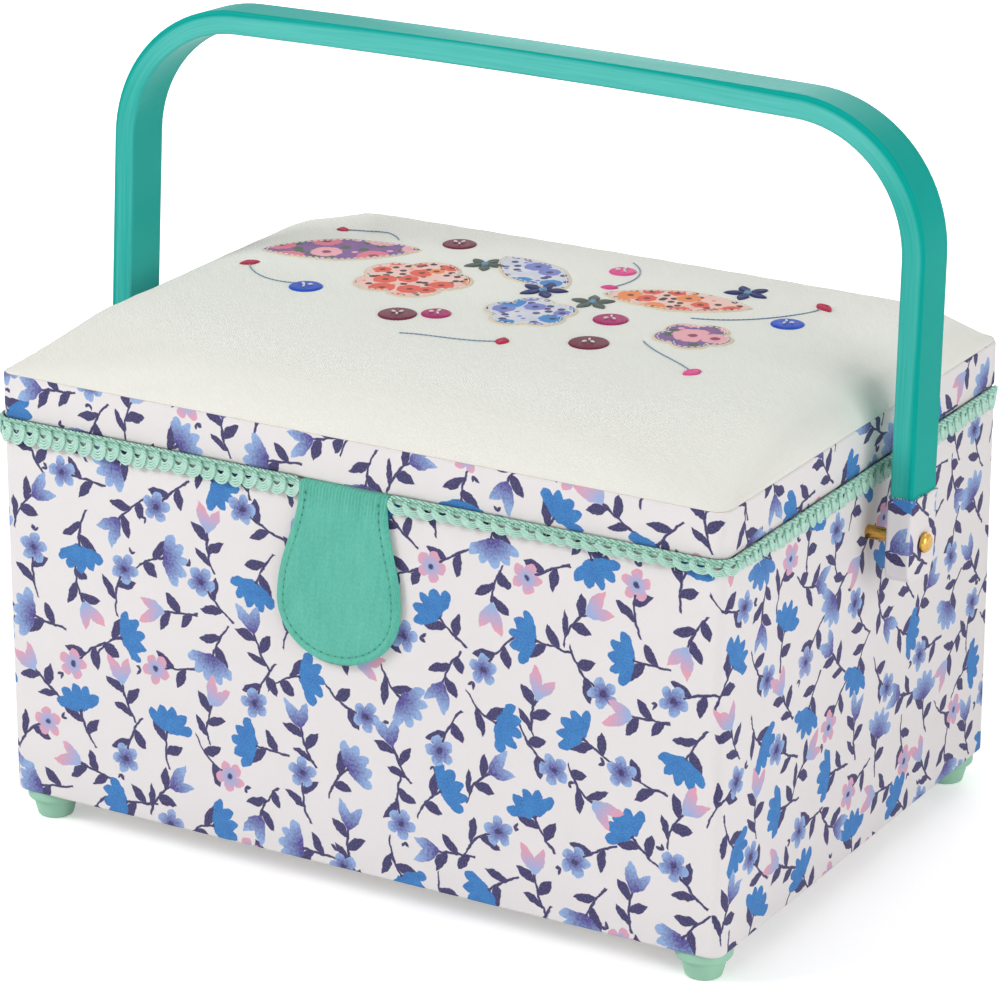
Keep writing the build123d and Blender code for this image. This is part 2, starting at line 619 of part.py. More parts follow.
def tray_shell():
    """Moulded lift-out tray with a rolled edge and its compartment walls."""
    tray = block(TRAY_WIDTH, TRAY_DEPTH, TRAY_BOTTOM, TRAY_TOP, TRAY_CORNER_RADIUS)
    lip_width = TRAY_WIDTH + 2 * TRAY_LIP
    lip_depth = TRAY_DEPTH + 2 * TRAY_LIP
    tray += block(lip_width, lip_depth, TRAY_TOP - TRAY_LIP_HEIGHT, TRAY_TOP, TRAY_CORNER_RADIUS + TRAY_LIP)
    for x, y, width, depth in tray_pockets():
        hollow = block(width, depth, TRAY_BOTTOM + TRAY_WALL, TRAY_TOP + REACH, TRAY_POCKET_RADIUS)
        tray -= Pos(x, y, 0) * hollow
    return tray


# ---- every node, by the name of its file ------------------------------------------------------------------
def make_nodes():
    nodes = {
        "base_panel": base_panel(),
        "outer_cover": outer_cover(),
        "bottom_sheet": bottom_sheet(),
        "wall_lining": wall_lining(),
        "floor_lining": floor_lining(),
        "latch_keeper": keeper(),
        "foot_screws": group(foot_screw(x, y) for x, y in foot_places()),
        "hinge_wall_screws": group(hinge_screw(x, z) for x, z in hinge_screw_places(-1)),
        "hinge_lid_screws": group(hinge_screw(x, z) for x, z in hinge_screw_places(1)),
        "lid_board": lid_board(),
        "lid_band_cover": lid_band(),
        "lid_padding": lid_padding(),
        "lid_top_cloth": lid_top_cloth(),
        "lid_lining": lid_lining(),
        "lid_pocket": lid_pocket(),
        "pincushion": pincushion(),
        "tab_root": tab_root(),
        "tab_cover": tab_cover(),
        "tab_backing": tab_backing(),
        "tab_stiffener": tab_stiffener(),
        "tab_magnet": tab_magnet(),
        "handle_bail": handle_bail(),
        "tray_shell": tray_shell(),
    }
    for name, end in ENDS.items():
        nodes[f"{name}_panel"] = end_panel(end)
        nodes[f"lid_rim_{name}"] = lid_end_rim(end)
    for name, side in SIDES.items():
        nodes[f"{name}_panel"] = side_panel(side)
        nodes[f"lid_rim_{name}"] = lid_side_rim(side)
        nodes[f"tray_ledge_{name}"] = tray_ledge(side)
        nodes[f"hinge_{name}_wall_leaf"] = hinge_leaf(side, -1)
        nodes[f"hinge_{name}_lid_leaf"] = hinge_leaf(side, 1)
        nodes[f"hinge_{name}_pin"] = hinge_pin(side)
        nodes[f"braid_front_{name}"] = front_braid(side)
        nodes[f"braid_side_{name}"] = side_braid(side)
        nodes[f"handle_sleeve_{name}"] = handle_sleeve(side)
        nodes[f"pivot_spacer_{name}"] = pivot_spacer(side)
        nodes[f"pivot_screw_{name}"] = pivot_screw(side)
        nodes[f"pivot_nut_{name}"] = pivot_nut(side)
        for end_name, end in ENDS.items():
            nodes[f"foot_{end_name}_{name}"] = foot(side * FOOT_X, end * FOOT_Y)
    return nodes


os.makedirs("parts", exist_ok=True)
for node, shape in make_nodes().items():
    export_step(shape, f"parts/{node}.step")
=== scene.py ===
import math
import random

import bmesh
import bpy
from mathutils import Matrix, Vector, noise
from mathutils.bvhtree import BVHTree


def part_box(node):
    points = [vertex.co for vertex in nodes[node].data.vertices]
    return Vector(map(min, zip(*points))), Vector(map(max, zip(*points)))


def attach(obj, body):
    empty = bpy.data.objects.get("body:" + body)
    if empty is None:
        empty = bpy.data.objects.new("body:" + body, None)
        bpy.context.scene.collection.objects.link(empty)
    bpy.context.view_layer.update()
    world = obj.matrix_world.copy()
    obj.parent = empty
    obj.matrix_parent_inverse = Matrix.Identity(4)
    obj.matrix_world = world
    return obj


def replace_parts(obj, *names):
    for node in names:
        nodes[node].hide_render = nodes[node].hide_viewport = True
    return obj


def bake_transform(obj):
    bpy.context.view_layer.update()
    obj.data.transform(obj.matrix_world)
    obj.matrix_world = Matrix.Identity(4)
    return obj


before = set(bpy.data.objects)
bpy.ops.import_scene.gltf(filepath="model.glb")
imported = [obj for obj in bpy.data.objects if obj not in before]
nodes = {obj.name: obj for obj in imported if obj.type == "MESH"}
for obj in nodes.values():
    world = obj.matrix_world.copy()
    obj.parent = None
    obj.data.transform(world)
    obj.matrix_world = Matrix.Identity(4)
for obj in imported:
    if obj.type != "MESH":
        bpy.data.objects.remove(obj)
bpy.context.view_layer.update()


# ---- camera, room and light --------------------------------------------------------------------
# A long lens a little above the box, turned to show its front and right side. The room is white.
# The strongest of four soft lamps stands to the left, so shadows fall softly to the right.
CAMERA_PLACE = (0.8716, -1.4970, 0.7591)
CAMERA_TURN = 30.27
CAMERA_DROP = 20.02
CAMERA_LENS = 166.6
bpy.ops.object.camera_add(
    location=CAMERA_PLACE,
    rotation=(math.radians(90 - CAMERA_DROP), 0, math.radians(CAMERA_TURN)),
)
camera = bpy.context.object
camera.data.lens = CAMERA_LENS
camera.data.clip_end = 50
bpy.context.scene.camera = camera
bpy.context.scene.view_settings.view_transform = "Standard"


BOX_MIDDLE = Vector((0, 0, 0.12))
# Name, place, width and power of each square lamp.
LAMPS = [
    ("key_lamp", (-1.3, -1.3, 1.3), 0.8, 25.5),
    ("fill_lamp", (1.7, -0.7, 0.8), 1.2, 16.5),
    ("top_lamp", (0.1, 0.5, 1.9), 1.2, 5.5),
    ("back_lamp", (-0.5, 1.9, 0.8), 1.2, 10),
]
for lamp_name, place, width, power in LAMPS:
    turn = (Vector(place) - BOX_MIDDLE).to_track_quat("Z", "Y").to_euler()
    bpy.ops.object.light_add(type="AREA", location=place, rotation=turn)
    lamp = bpy.context.object
    lamp.name = lamp_name
    lamp.data.size = width
    lamp.data.energy = power
world = bpy.data.worlds.new("room")
bpy.context.scene.world = world
world.use_nodes = True
world.node_tree.nodes["Background"].inputs["Color"].default_value = (1, 1, 1, 1)


# ---- table -------------------------------------------------------------------------------------
# White painted table top, much wider than the box, which only catches its shadow. The white room
# round it is finished here too, because both look whiter than the light that they give the box.
MM = 0.001               # sizes are in millimetres, apart from the table's and the lamps'
ROOM_LIGHT = 0.4         # how strongly the white room lights the box
TABLE_WIDTH = 30         # in metres
TABLE_TONE = 0.93
TABLE_LIFT = 0.34        # how much whiter the table looks than it lights its surroundings
TABLE_LIFT_FAR = 0.8     # and far from the box
TABLE_NEAR = 350         # where it starts to look whiter
TABLE_FAR = 1600


class Signal:
    """One output of a shader node. Arithmetic on it adds the Math nodes that work it out."""

    def __init__(self, tree, socket):
        self.tree = tree
        self.socket = socket

    def node(self, kind, settings, inputs):
        """Adds a node: its settings first, then the value or the signal of each input."""
        made = self.tree.nodes.new(kind)
        for name, value in settings.items():
            setattr(made, name, value)
        for name, value in inputs.items():
            if isinstance(value, Signal):
                self.tree.links.new(value.socket, made.inputs[name])
            else:
                made.inputs[name].default_value = value
        return Signal(self.tree, made.outputs[0])

    def math(self, operation, *others, clamp=False):
        """Adds a Math node, with this as its first value."""
        settings = {"operation": operation, "use_clamp": clamp}
        return self.node("ShaderNodeMath", settings, dict(enumerate((self, *others))))

    def part(self, name):
        """Another output of the same node."""
        return Signal(self.tree, self.socket.node.outputs[name])

    def __add__(self, other):
        return self.math("ADD", other)

    def __sub__(self, other):
        return self.math("SUBTRACT", other)

    def __mul__(self, other):
        return self.math("MULTIPLY", other)

    def __rsub__(self, other):
        return self * -1 + other

    def __abs__(self):
        return self.math("ABSOLUTE")

    __radd__ = __add__
    __rmul__ = __mul__

    def wave(self, pitch):
        """Sine with that pitch."""
        return (self * (math.tau / pitch)).math("SINE")

    def inside(self, edge):
        """0 where a shape's value is negative and 1 where it is positive, over a soft edge."""
        return self.math("MULTIPLY_ADD", 1 / edge, 0.5, clamp=True)

    def between(self, low, high):
        """0 at one value and 1 at another."""
        return self.node("ShaderNodeMapRange", {}, {0: self, 1: low, 2: high})

    def channels(self):
        """The three numbers of a colour or a vector."""
        split = self.node("ShaderNodeSeparateXYZ", {}, {0: self})
        return [split.part(name) for name in "XYZ"]

    def joined(self, y, z=0.0):
        """A vector from this as its X, with its Y and Z."""
        return self.node("ShaderNodeCombineXYZ", {}, {0: self, 1: y, 2: z})

    def mixed(self, low, high):
        """From one colour to another as this goes from 0 to 1."""
        low, high = [c if isinstance(c, Signal) else (*c, 1) for c in (low, high)]
        mix = self.node("ShaderNodeMix", {"data_type": "RGBA"}, {0: self, 6: low, 7: high})
        return mix.part(2)

    def noise(self, scale, detail=2.0, dimensions="3D"):
        """Cloudy noise over a place in millimetres: scale is in features for each millimetre."""
        inputs = {"Vector": self, "Scale": scale, "Detail": detail}
        return self.node("ShaderNodeTexNoise", {"noise_dimensions": dimensions}, inputs)

    def bump(self, depth):
        """Surface relief, where this is a height from 0 to 1 and depth is in millimetres."""
        return self.node("ShaderNodeBump", {}, {"Height": self, "Distance": depth * MM})


class Finish:
    """A material that is being made: where on the piece it is, and what its surface is like."""

    def __init__(self, name):
        self.material = bpy.data.materials.new(name)
        self.material.use_nodes = True
        self.tree = self.material.node_tree
        self.surface = self.tree.nodes["Principled BSDF"]

    def place(self, output="Object"):
        """Place on the piece in millimetres: Object is in space, UV is along the cloth."""
        start = Signal(self.tree, self.tree.nodes.new("ShaderNodeTexCoord").outputs[output])
        inputs = {0: start, "Scale": 1 / MM}
        return start.node("ShaderNodeVectorMath", {"operation": "SCALE"}, inputs)

    def attribute(self, name):
        """A number that the piece's mesh holds for each point."""
        read = self.tree.nodes.new("ShaderNodeAttribute")
        read.attribute_name = name
        return Signal(self.tree, read.outputs["Fac"])

    def set(self, **inputs):
        """Sets the surface's inputs, named as the shader names them with _ for a space."""
        for name, value in inputs.items():
            socket = self.surface.inputs[name.replace("_", " ")]
            if isinstance(value, Signal):
                self.tree.links.new(value.socket, socket)
            elif isinstance(value, tuple):
                socket.default_value = (*value, 1)
            else:
                socket.default_value = value
        return self.material


def dress(piece, material):
    """Gives a piece its one finish."""
    piece.data.materials.clear()
    piece.data.materials.append(material)


def seen_straight(tree):
    """1 for a ray from the camera, and for what gloss and glass show of it."""
    rays = Signal(tree, tree.nodes.new("ShaderNodeLightPath").outputs["Is Camera Ray"])
    seen = rays
    for ray in ("Is Glossy Ray", "Is Transmission Ray"):
        seen = seen.math("MAXIMUM", rays.part(ray))
    return seen


bpy.ops.mesh.primitive_plane_add(size=TABLE_WIDTH)
table = bpy.context.object
table.name = "table"
paint = Finish("table_paint")
seen = seen_straight(paint.tree)
away_x, away_y, _ = paint.place().channels()
away = (away_x * away_x + away_y * away_y).math("SQRT").between(TABLE_NEAR, TABLE_FAR)
lift = seen * (away * (TABLE_LIFT_FAR - TABLE_LIFT) + TABLE_LIFT)
dress(
    table,
    paint.set(
        Base_Color=(TABLE_TONE, TABLE_TONE, TABLE_TONE), Roughness=0.9, Specular_IOR_Level=0.1,
        Emission_Color=lift.joined(lift, lift), Emission_Strength=1.0,
    ),
)
room_tree = world.node_tree
room_light = seen_straight(room_tree) * (1 - ROOM_LIGHT) + ROOM_LIGHT
room_tree.links.new(room_light.socket, room_tree.nodes["Background"].inputs["Strength"])


# ---- greyboard carcass -------------------------------------------------------------------------
# The walls, the base, the lid's frame and its top are greyboard, cut square and glued. Cloth and
# lining hide all of it but the cut edges, and a sheet of backing paper is glued under the base.
def rgb(red, green, blue):
    """A colour as a screen shows it, 0 to 255, in the renderer's own linear light."""
    return tuple(((c / 255 + 0.055) / 1.055) ** 2.4 for c in (red, green, blue))


def dress_nodes(names, material):
    """Gives CAD nodes a finish."""
    for name in names:
        dress(nodes[name], material)


def board_finish():
    """Grey pressed board, flecked and faintly streaked."""
    finish = Finish("greyboard")
    place = finish.place()
    fleck = place.noise(1.6, 4.0)
    streak = place.noise(0.12, 2.0)
    tone = fleck.mixed(rgb(150, 138, 120), rgb(196, 184, 164))
    tone = (streak * 0.4).mixed(tone, rgb(206, 196, 178))
    return finish.set(Base_Color=tone, Roughness=0.88, Normal=fleck.bump(0.06))


WALL_BOARDS = ["front_panel", "back_panel", "left_panel", "right_panel", "base_panel"]
LID_BOARDS = ["lid_board", "lid_rim_front", "lid_rim_back", "lid_rim_left", "lid_rim_right"]
dress_nodes(WALL_BOARDS + LID_BOARDS, board_finish())


def paper_finish():
    """Buff paper with short fibres in it."""
    finish = Finish("backing_paper")
    place = finish.place()
    fibre = place.noise(0.9, 5.0)
    tone = fibre.mixed(rgb(205, 196, 178), rgb(228, 221, 205))
    return finish.set(Base_Color=tone, Roughness=0.92, Normal=fibre.bump(0.05))


dress_nodes(["bottom_sheet"], paper_finish())


# ---- printed cotton ----------------------------------------------------------------------------
# Plain-weave cotton printed with scattered sprigs: scalloped blue fans, open five-petalled flowers
# and paired drops, each on a curved indigo stem. It is drawn along the cloth, not through space.
PRINT_PITCH = 41.5       # between like sprigs along a row
PRINT_ROW = 36.0
PRINT_JITTER = 4.0       # how far a sprig strays from its row and column
PRINT_BEND = 0.075       # how much stems differ in their curve
PRINT_EDGE = 0.25
PRINT_WOBBLE = 2.0       # unsteadiness of the painted outlines
SPRIG_STARTS = [(0, 0), (PRINT_PITCH / 2, PRINT_ROW / 3), (0, 2 * PRINT_ROW / 3)]
STEM_END = -14.5
STEM_WIDTH = 1.1
FAN_STEP = 0.5           # angle between a fan's petals, in radians
FAN_REACH = 6.9          # root of the fan to the middle of a petal
FAN_LENGTH = 5.6
FAN_WIDTH = 2.6
FLOWER_REACH = 6         # end of the stem to the middle of an open flower
# Leaves of each kind of sprig: root on the stem, angle, length, width and curl.
FAN_LEAVES = [(-4, 38, 10.5, 4.4, 1.8), (-9, -42, 10, 4.2, -1.8), (0, 0, 5, 3.6)]
FLOWER_LEAVES = [(-3, -38, 10, 4.2, -1.5), (-8.5, 44, 10, 4.2, 1.5)]
FLOWER_TIPS = [(13.2, 30, 3.2, 1.5), (13.2, -30, 2.8, 1.4)]
DROP_LEAVES = [
    (-2, 42, 10, 4.2, 1.7), (-7, -40, 10, 4.2, -1.7), (-12, 36, 8.5, 3.8, 1.4), (5, 62, 4.4, 2.0),
]
DROPS = [(1.2, 16, 13.6, 5.2, 1.2), (1.2, -18, 12, 4.8, -1.2)]
THREAD_PITCH = 0.45


def highest(*signals):
    """The highest of several values, which joins shapes."""
    whole = signals[0]
    for signal in signals[1:]:
        whole = whole.math("MAXIMUM", signal)
    return whole


def lowest(*signals):
    """The lowest of several values, which keeps what lies in all of the shapes."""
    whole = signals[0]
    for signal in signals[1:]:
        whole = whole.math("MINIMUM", signal)
    return whole


def leaf(x, y, base, degrees, length, width, curl=0.0):
    """Value of a pointed leaf that grows from a place on the stem: positive inside it."""
    c, s = math.cos(math.radians(degrees)), math.sin(math.radians(degrees))
    along = x * (c / length) + y * (s / length) - base * c / length
    across = y * c - x * s + base * s
    if curl:
        across = across - along * along * curl
    return along * (1 - along) * (2 * width) - abs(across)


def sprig_stem(x, y, end):
    """Value of a sprig's stem, up to its flower."""
    return lowest(STEM_WIDTH / 2 - abs(y), x - STEM_END, end - x)


def sprig_place(u, v, layer):
    """Place within the nearest sprig of one kind, turned and bent its own way, and its chance."""
    start_u, start_v = SPRIG_STARTS[layer]
    row_place = v * (1 / PRINT_ROW) + start_v / PRINT_ROW
    row = row_place.math("FLOOR")
    shift = (row * 0.5).math("FRACT")
    column_place = u * (1 / PRINT_PITCH) + shift + start_u / PRINT_PITCH
    column = column_place.math("FLOOR")
    cell = column.joined(row, layer * 7.31 + 0.5)
    turn = u.node("ShaderNodeTexWhiteNoise", {"noise_dimensions": "3D"}, {"Vector": cell})
    across, up, chance = turn.part("Color").channels()
    step_u = (column_place - column - 0.5) * PRINT_PITCH - (across - 0.5) * PRINT_JITTER
    step_v = (row_place - row - 0.5) * PRINT_ROW - (up - 0.5) * PRINT_JITTER
    angle = turn * math.tau
    cosine, sine = angle.math("COSINE"), angle.math("SINE")
    x = step_u * cosine + step_v * sine
    y = step_v * cosine - step_u * sine
    stalk = x.math("MINIMUM", 0.0)
    return x, y - stalk * stalk * ((across - 0.5) * PRINT_BEND), chance


def sprigs(cloth, shift, palette):
    """The print at a place along the cloth, in millimetres: fans, open flowers, then drops."""
    wash = cloth.noise(0.22, 2.0, "2D")
    wobble_u, wobble_v, _ = wash.part("Color").channels()
    u, v, _ = cloth.channels()
    u = u + shift[0] + (wobble_u - 0.5) * PRINT_WOBBLE
    v = v + shift[1] + (wobble_v - 0.5) * PRINT_WOBBLE
    streak = (cloth.noise(0.9, 2.0, "2D") - 0.5) * 0.9
    greens, blooms = [], []

    x, y, chance = sprig_place(u, v, 0)
    greens += [sprig_stem(x, y, 2), *[leaf(x, y, *spec) for spec in FAN_LEAVES]]
    reach = (x * x + y * y).math("SQRT")
    angle = y.math("ARCTAN2", x)
    nearest = (angle * (1 / FAN_STEP)).math("ROUND") * FAN_STEP
    local = angle - nearest
    out = (reach * local.math("COSINE") - FAN_REACH) * (1 / FAN_LENGTH)
    across = reach * local.math("SINE") * (1 / FAN_WIDTH)
    petal = (1 - out * out - across * across) * 2.4
    fan = lowest(petal, (2.5 * FAN_STEP - abs(angle)) * 9)
    solid = wash.mixed(palette["deep"], palette["strong"])
    streaked = (reach.between(2.5, 11) + streak).mixed(palette["dark"], palette["pale"])
    blooms.append((fan, (chance - 0.68).inside(0.02).mixed(solid, streaked)))

    x, y, chance = sprig_place(u, v, 1)
    greens += [sprig_stem(x, y, 2), *[leaf(x, y, *spec) for spec in FLOWER_LEAVES]]
    out = x - FLOWER_REACH
    angle = y.math("ARCTAN2", out)
    reach = (out * out + y * y).math("SQRT")
    petals = abs((angle * 2.5).math("COSINE")).math("POWER", 0.6) * 3.3 + 3.2 - reach
    fade = reach.between(0.8, 5.8) + streak
    cool = fade.mixed(palette["dark"], palette["pale"])
    warm = fade.mixed(palette["pale"], palette["warm"])
    tone = (chance - 0.68).inside(0.02).mixed(cool, warm)
    blooms.append((petals, (1.2 - reach).inside(0.6).mixed(tone, palette["ink"])))
    greens += [leaf(x, y, *spec) for spec in FLOWER_TIPS]

    x, y, chance = sprig_place(u, v, 2)
    greens += [sprig_stem(x, y, 3), *[leaf(x, y, *spec) for spec in DROP_LEAVES]]
    drops = highest(*[leaf(x, y, *spec) for spec in DROPS])
    fade = x.between(2.5, 12) + streak
    warm = fade.mixed(palette["pale"], palette["warm"])
    cool = fade.mixed(palette["dark"], palette["pale"])
    blooms.append((drops, (chance - 0.42).inside(0.02).mixed(warm, cool)))

    tone = highest(*greens).inside(PRINT_EDGE).mixed(palette["ground"], palette["ink"])
    for bloom, bloom_tone in blooms:
        tone = bloom.inside(PRINT_EDGE).mixed(tone, bloom_tone)
    return tone


BOX_PALETTE = {
    "ground": rgb(238, 233, 233),
    "ink": rgb(54, 48, 102),
    "strong": rgb(48, 138, 206),
    "deep": rgb(34, 108, 184),
    "dark": rgb(80, 68, 148),
    "pale": rgb(150, 182, 228),
    "warm": rgb(233, 163, 184),
}


def printed_finish(name, shift):
    """The printed cotton, with its print moved along the cloth by a shift in millimetres."""
    finish = Finish(name)
    cloth = finish.place("UV")
    u, v, _ = cloth.channels()
    weave = u.wave(THREAD_PITCH) * v.wave(THREAD_PITCH)
    slub = cloth.noise(0.03, 1.0, "2D")
    speck = cloth.noise(1.5, 2.0, "2D")
    bare = weave * 0.06 + (speck - 0.3) * 0.28
    tone = bare.mixed(sprigs(cloth, shift, BOX_PALETTE), rgb(208, 203, 208))
    height = weave * 0.5 + slub * 3
    return finish.set(
        Base_Color=tone, Roughness=0.85, Specular_IOR_Level=0.25, Sheen_Weight=0.05,
        Normal=height.bump(0.12),
    )


def wipe_selection():
    """Leaves edit mode and deselects everything."""
    if bpy.context.object and bpy.context.object.mode != "OBJECT":
        bpy.ops.object.mode_set(mode="OBJECT")
    bpy.ops.object.select_all(action="DESELECT")


def block(name, low, high):
    """Starts a piece as a cube between two corners, in millimetres, with its place in its mesh."""
    wipe_selection()
    middle = [(a + b) / 2 * MM for a, b in zip(low, high)]
    size = [(b - a) * MM for a, b in zip(low, high)]
    bpy.ops.mesh.primitive_cube_add(size=1, location=middle, scale=size)
    return settled(name)


def settled(name):
    """Puts a new primitive's place, turn and size into its mesh, and names it."""
    bpy.ops.object.transform_apply(location=True, rotation=True, scale=True)
    piece = bpy.context.object
    piece.name = name
    piece.data.name = name
    return piece


def middle_of(part):
    """Middle of an edge or a face, in millimetres."""
    corners = [v.co for v in part.verts]
    return sum(corners, Vector()) / len(corners) / MM


def pick(kind, test):
    """In edit mode, selects only the edges or faces that pass a test, given their middle in mm."""
    bpy.ops.mesh.select_mode(type={"edges": "EDGE", "faces": "FACE"}[kind])
    bpy.ops.mesh.select_all(action="DESELECT")
    mesh = bmesh.from_edit_mesh(bpy.context.object.data)
    for part in getattr(mesh, kind):
        if test(part, middle_of(part)):
            part.select_set(True)
    mesh.select_flush_mode()
    bmesh.update_edit_mesh(bpy.context.object.data)


def upright(edge):
    """Whether an edge stands more than it lies."""
    a, b = [v.co for v in edge.verts]
    return abs(a.z - b.z) > 0.5 * (a - b).length


def edit():
    """Starts shaping the active piece in edit mode."""
    bpy.ops.object.mode_set(mode="EDIT")


def close_edit():
    """Leaves edit mode."""
    bpy.ops.object.mode_set(mode="OBJECT")


def apply(piece, kind, **settings):
    """Adds a modifier and applies it."""
    wipe_selection()
    piece.select_set(True)
    bpy.context.view_layer.objects.active = piece
    made = piece.modifiers.new(kind.lower(), kind)
    for name, value in settings.items():
        setattr(made, name, value)
    bpy.ops.object.modifier_apply(modifier=made.name)


def smooth(piece, degrees=40):
    """Smooth shading, apart from edges sharper than an angle."""
    wipe_selection()
    piece.select_set(True)
    bpy.context.view_layer.objects.active = piece
    bpy.ops.object.shade_smooth_by_angle(angle=math.radians(degrees))


def cut_planes(axis, places):
    """In edit mode, cuts the whole mesh at places along an axis, in millimetres."""
    normal = tuple(1.0 if i == axis else 0.0 for i in range(3))
    for place in places:
        bpy.ops.mesh.select_all(action="SELECT")
        point = tuple(place * MM if i == axis else 0.0 for i in range(3))
        bpy.ops.mesh.bisect(plane_co=point, plane_no=normal)


def node_box(name):
    """Lowest and highest corner of a CAD node, in millimetres."""
    low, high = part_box(name)
    return low / MM, high / MM


CORNER = 6.0
CLOTH_FOLD = 1.1         # roundness where the cloth turns over an edge
MITRE = 5.4              # how far in the turned cloth stays round before its corner is mitred
COTTON_THICKNESS = 0.45
COVER_HEM = 16.0         # cloth turned in under the base
COVER_TOP_TURN = 5.6     # and over the walls' top edge
BAND_HEM = 5.0
BAND_TOP_TURN = 7.0


def around(x, y, half_width, half_depth, right):
    """Distance along the cloth round the box from the middle of the front, to the right or left."""
    x = abs(x)
    straight_x, straight_y = half_width - CORNER, half_depth - CORNER
    arc = CORNER * math.pi / 2
    if y < 0 and x <= straight_x:
        run = x
    elif abs(y) <= straight_y:
        run = straight_x + arc + y + straight_y
    elif x <= straight_x:
        run = straight_x + 2 * arc + 2 * straight_y + straight_x - x
    elif y < 0:
        run = straight_x + CORNER * math.atan2(x - straight_x, -y - straight_y)
    else:
        turn = math.atan2(y - straight_y, x - straight_x)
        run = straight_x + arc + 2 * straight_y + CORNER * turn
    return run if right else -run


def wrap_uv(piece, half_width, half_depth, low, high):
    """Writes the place along the cloth: round the box, and up it with the turned edges unfolded."""
    mesh = piece.data
    layer = mesh.uv_layers.new(name="cloth") if not mesh.uv_layers else mesh.uv_layers[0]
    for face in mesh.polygons:
        right = face.center.x > 0
        for corner in face.loop_indices:
            x, y, z = mesh.vertices[mesh.loops[corner].vertex_index].co / MM
            inward = min(half_width - abs(x), half_depth - abs(y))
            level = z + (inward if z > (low + high) / 2 else -inward)
            layer.data[corner].uv = (around(x, y, half_width, half_depth, right) * MM, level * MM)


def cotton_wrap(name, low, high, hem, top_turn, rows):
    """A tube of cloth round the walls or the lid's frame, turned in at its bottom and its top."""
    piece = block(name, low, high)
    half_width, half_depth = high[0], high[1]
    edit()
    pick("edges", lambda e, m: upright(e))
    bpy.ops.mesh.bevel(offset=CORNER * MM, segments=6, affect="EDGES")
    for level, turn in ((low[2], hem), (high[2], top_turn)):
        pick("faces", lambda f, m: abs(m.z - level) < 0.01)
        bpy.ops.mesh.inset(thickness=min(turn, MITRE) * MM)
        if turn > MITRE:
            bpy.ops.mesh.remove_doubles(threshold=1.0 * MM)
            bpy.ops.mesh.inset(thickness=(turn - MITRE) * MM)
        bpy.ops.mesh.delete(type="FACE")
    pick("edges", lambda e, m: len(e.link_faces) == 2 and e.calc_face_angle() > math.radians(80))
    bpy.ops.mesh.bevel(offset=CLOTH_FOLD * MM, segments=3, affect="EDGES")
    cut_planes(0, [0.0])
    step = (high[2] - low[2]) / rows
    cut_planes(2, [low[2] + step * i for i in range(1, rows)])
    close_edit()
    wrap_uv(piece, half_width, half_depth, low[2], high[2])
    return piece


cover_low, cover_high = node_box("outer_cover")
cover = cotton_wrap("printed_cover", cover_low, cover_high, COVER_HEM, COVER_TOP_TURN, rows=8)
apply(cover, "SOLIDIFY", thickness=COTTON_THICKNESS * MM, offset=-1)
smooth(cover)
dress(cover, printed_finish("printed_cotton_walls", (0, 0)))
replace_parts(cover, "outer_cover")
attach(cover, "box")

band_low, band_high = node_box("lid_band_cover")
band = cotton_wrap("printed_band", band_low, band_high, BAND_HEM, BAND_TOP_TURN, rows=2)
apply(band, "SOLIDIFY", thickness=COTTON_THICKNESS * MM, offset=-1)
smooth(band)
dress(band, printed_finish("printed_cotton_band", (13, 61)))
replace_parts(band, "lid_band_cover")
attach(band, "lid")


# ---- padded top --------------------------------------------------------------------------------
# Ivory twill drawn over foam on the lid's board and stapled under its edge, so that it swells a
# little between its corners. The foam and the twill are one soft piece.
def twill_finish(name, tone, shade, pitch, depth):
    """Twill: fine slanting ridges over a faint cross thread, a little uneven in tone."""
    finish = Finish(name)
    place = finish.place()
    x, y, z = place.channels()
    slant = (x + y * 0.9 + z * 1.1).wave(pitch)
    cross = (x - y + z * 0.3).wave(pitch * 0.7)
    cloud = place.noise(0.02, 2.0)
    weave = slant * 0.35 + cross * 0.15 + 0.5
    base = (weave * 0.5 + cloud * 0.3).mixed(shade, tone)
    height = weave + cloud * 1.5
    return finish.set(
        Base_Color=base, Roughness=0.88, Specular_IOR_Level=0.2, Sheen_Weight=0.2,
        Normal=height.bump(depth),
    )


def inflate(piece, cap, pinned):
    """Swells a closed form as filled cloth, up to a cap. Points that pass the test stay put."""
    wipe_selection()
    piece.select_set(True)
    bpy.context.view_layer.objects.active = piece
    start = [v.co.copy() for v in piece.data.vertices]
    held = piece.vertex_groups.new(name="held")
    held.add([i for i, p in enumerate(start) if pinned(p / MM)], 1.0, "REPLACE")
    made = piece.modifiers.new("cloth", "CLOTH")
    made.settings.use_pressure = True
    made.settings.uniform_pressure_force = 4
    made.settings.effector_weights.gravity = 0
    made.settings.vertex_group_mass = "held"
    for frame_number in range(1, 21):
        bpy.context.scene.frame_set(frame_number)
    bpy.ops.object.modifier_apply(modifier=made.name)
    bpy.context.scene.frame_set(1)
    piece.vertex_groups.clear()
    for vertex, place in zip(piece.data.vertices, start):
        step = vertex.co - place
        if step.length > cap * MM:
            vertex.co = place + step.normalized() * cap * MM


cloth_low, cloth_high = node_box("lid_top_cloth")
TOP_SWELL = 1.2          # how far the filling may push the cloth out
TOP_CORNER = 5.6
TOP_RISE = 13.9          # height of the crown at its middle, before it swells
TOP_DOME = 1.8           # how much lower it lies towards its edges
TOP_SIDE_SLOPE = 4.3     # how quickly it rises from the left and right edges
TOP_FRONT_SLOPE = 7.0    # and from the front edge
TOP_BACK_SLOPE = 2.5     # and from the back edge, where it is stapled tighter
FRONT_PULL = 75.0        # how far from a front corner the cloth is drawn down
BACK_PULL = 34.0
CORNER_SHARE = 0.42      # height left at a corner
TOP_EDGE = 0.15          # height of the cloth above its lower edge where it leaves the board
PLEAT_DEPTH = 0.22       # small pull marks beside the edges
PLEAT_REACH = 9
GRID_STEP = 6
EDGE_CUTS = [0.8, 2, 3.6, 5.6, 8, 11]


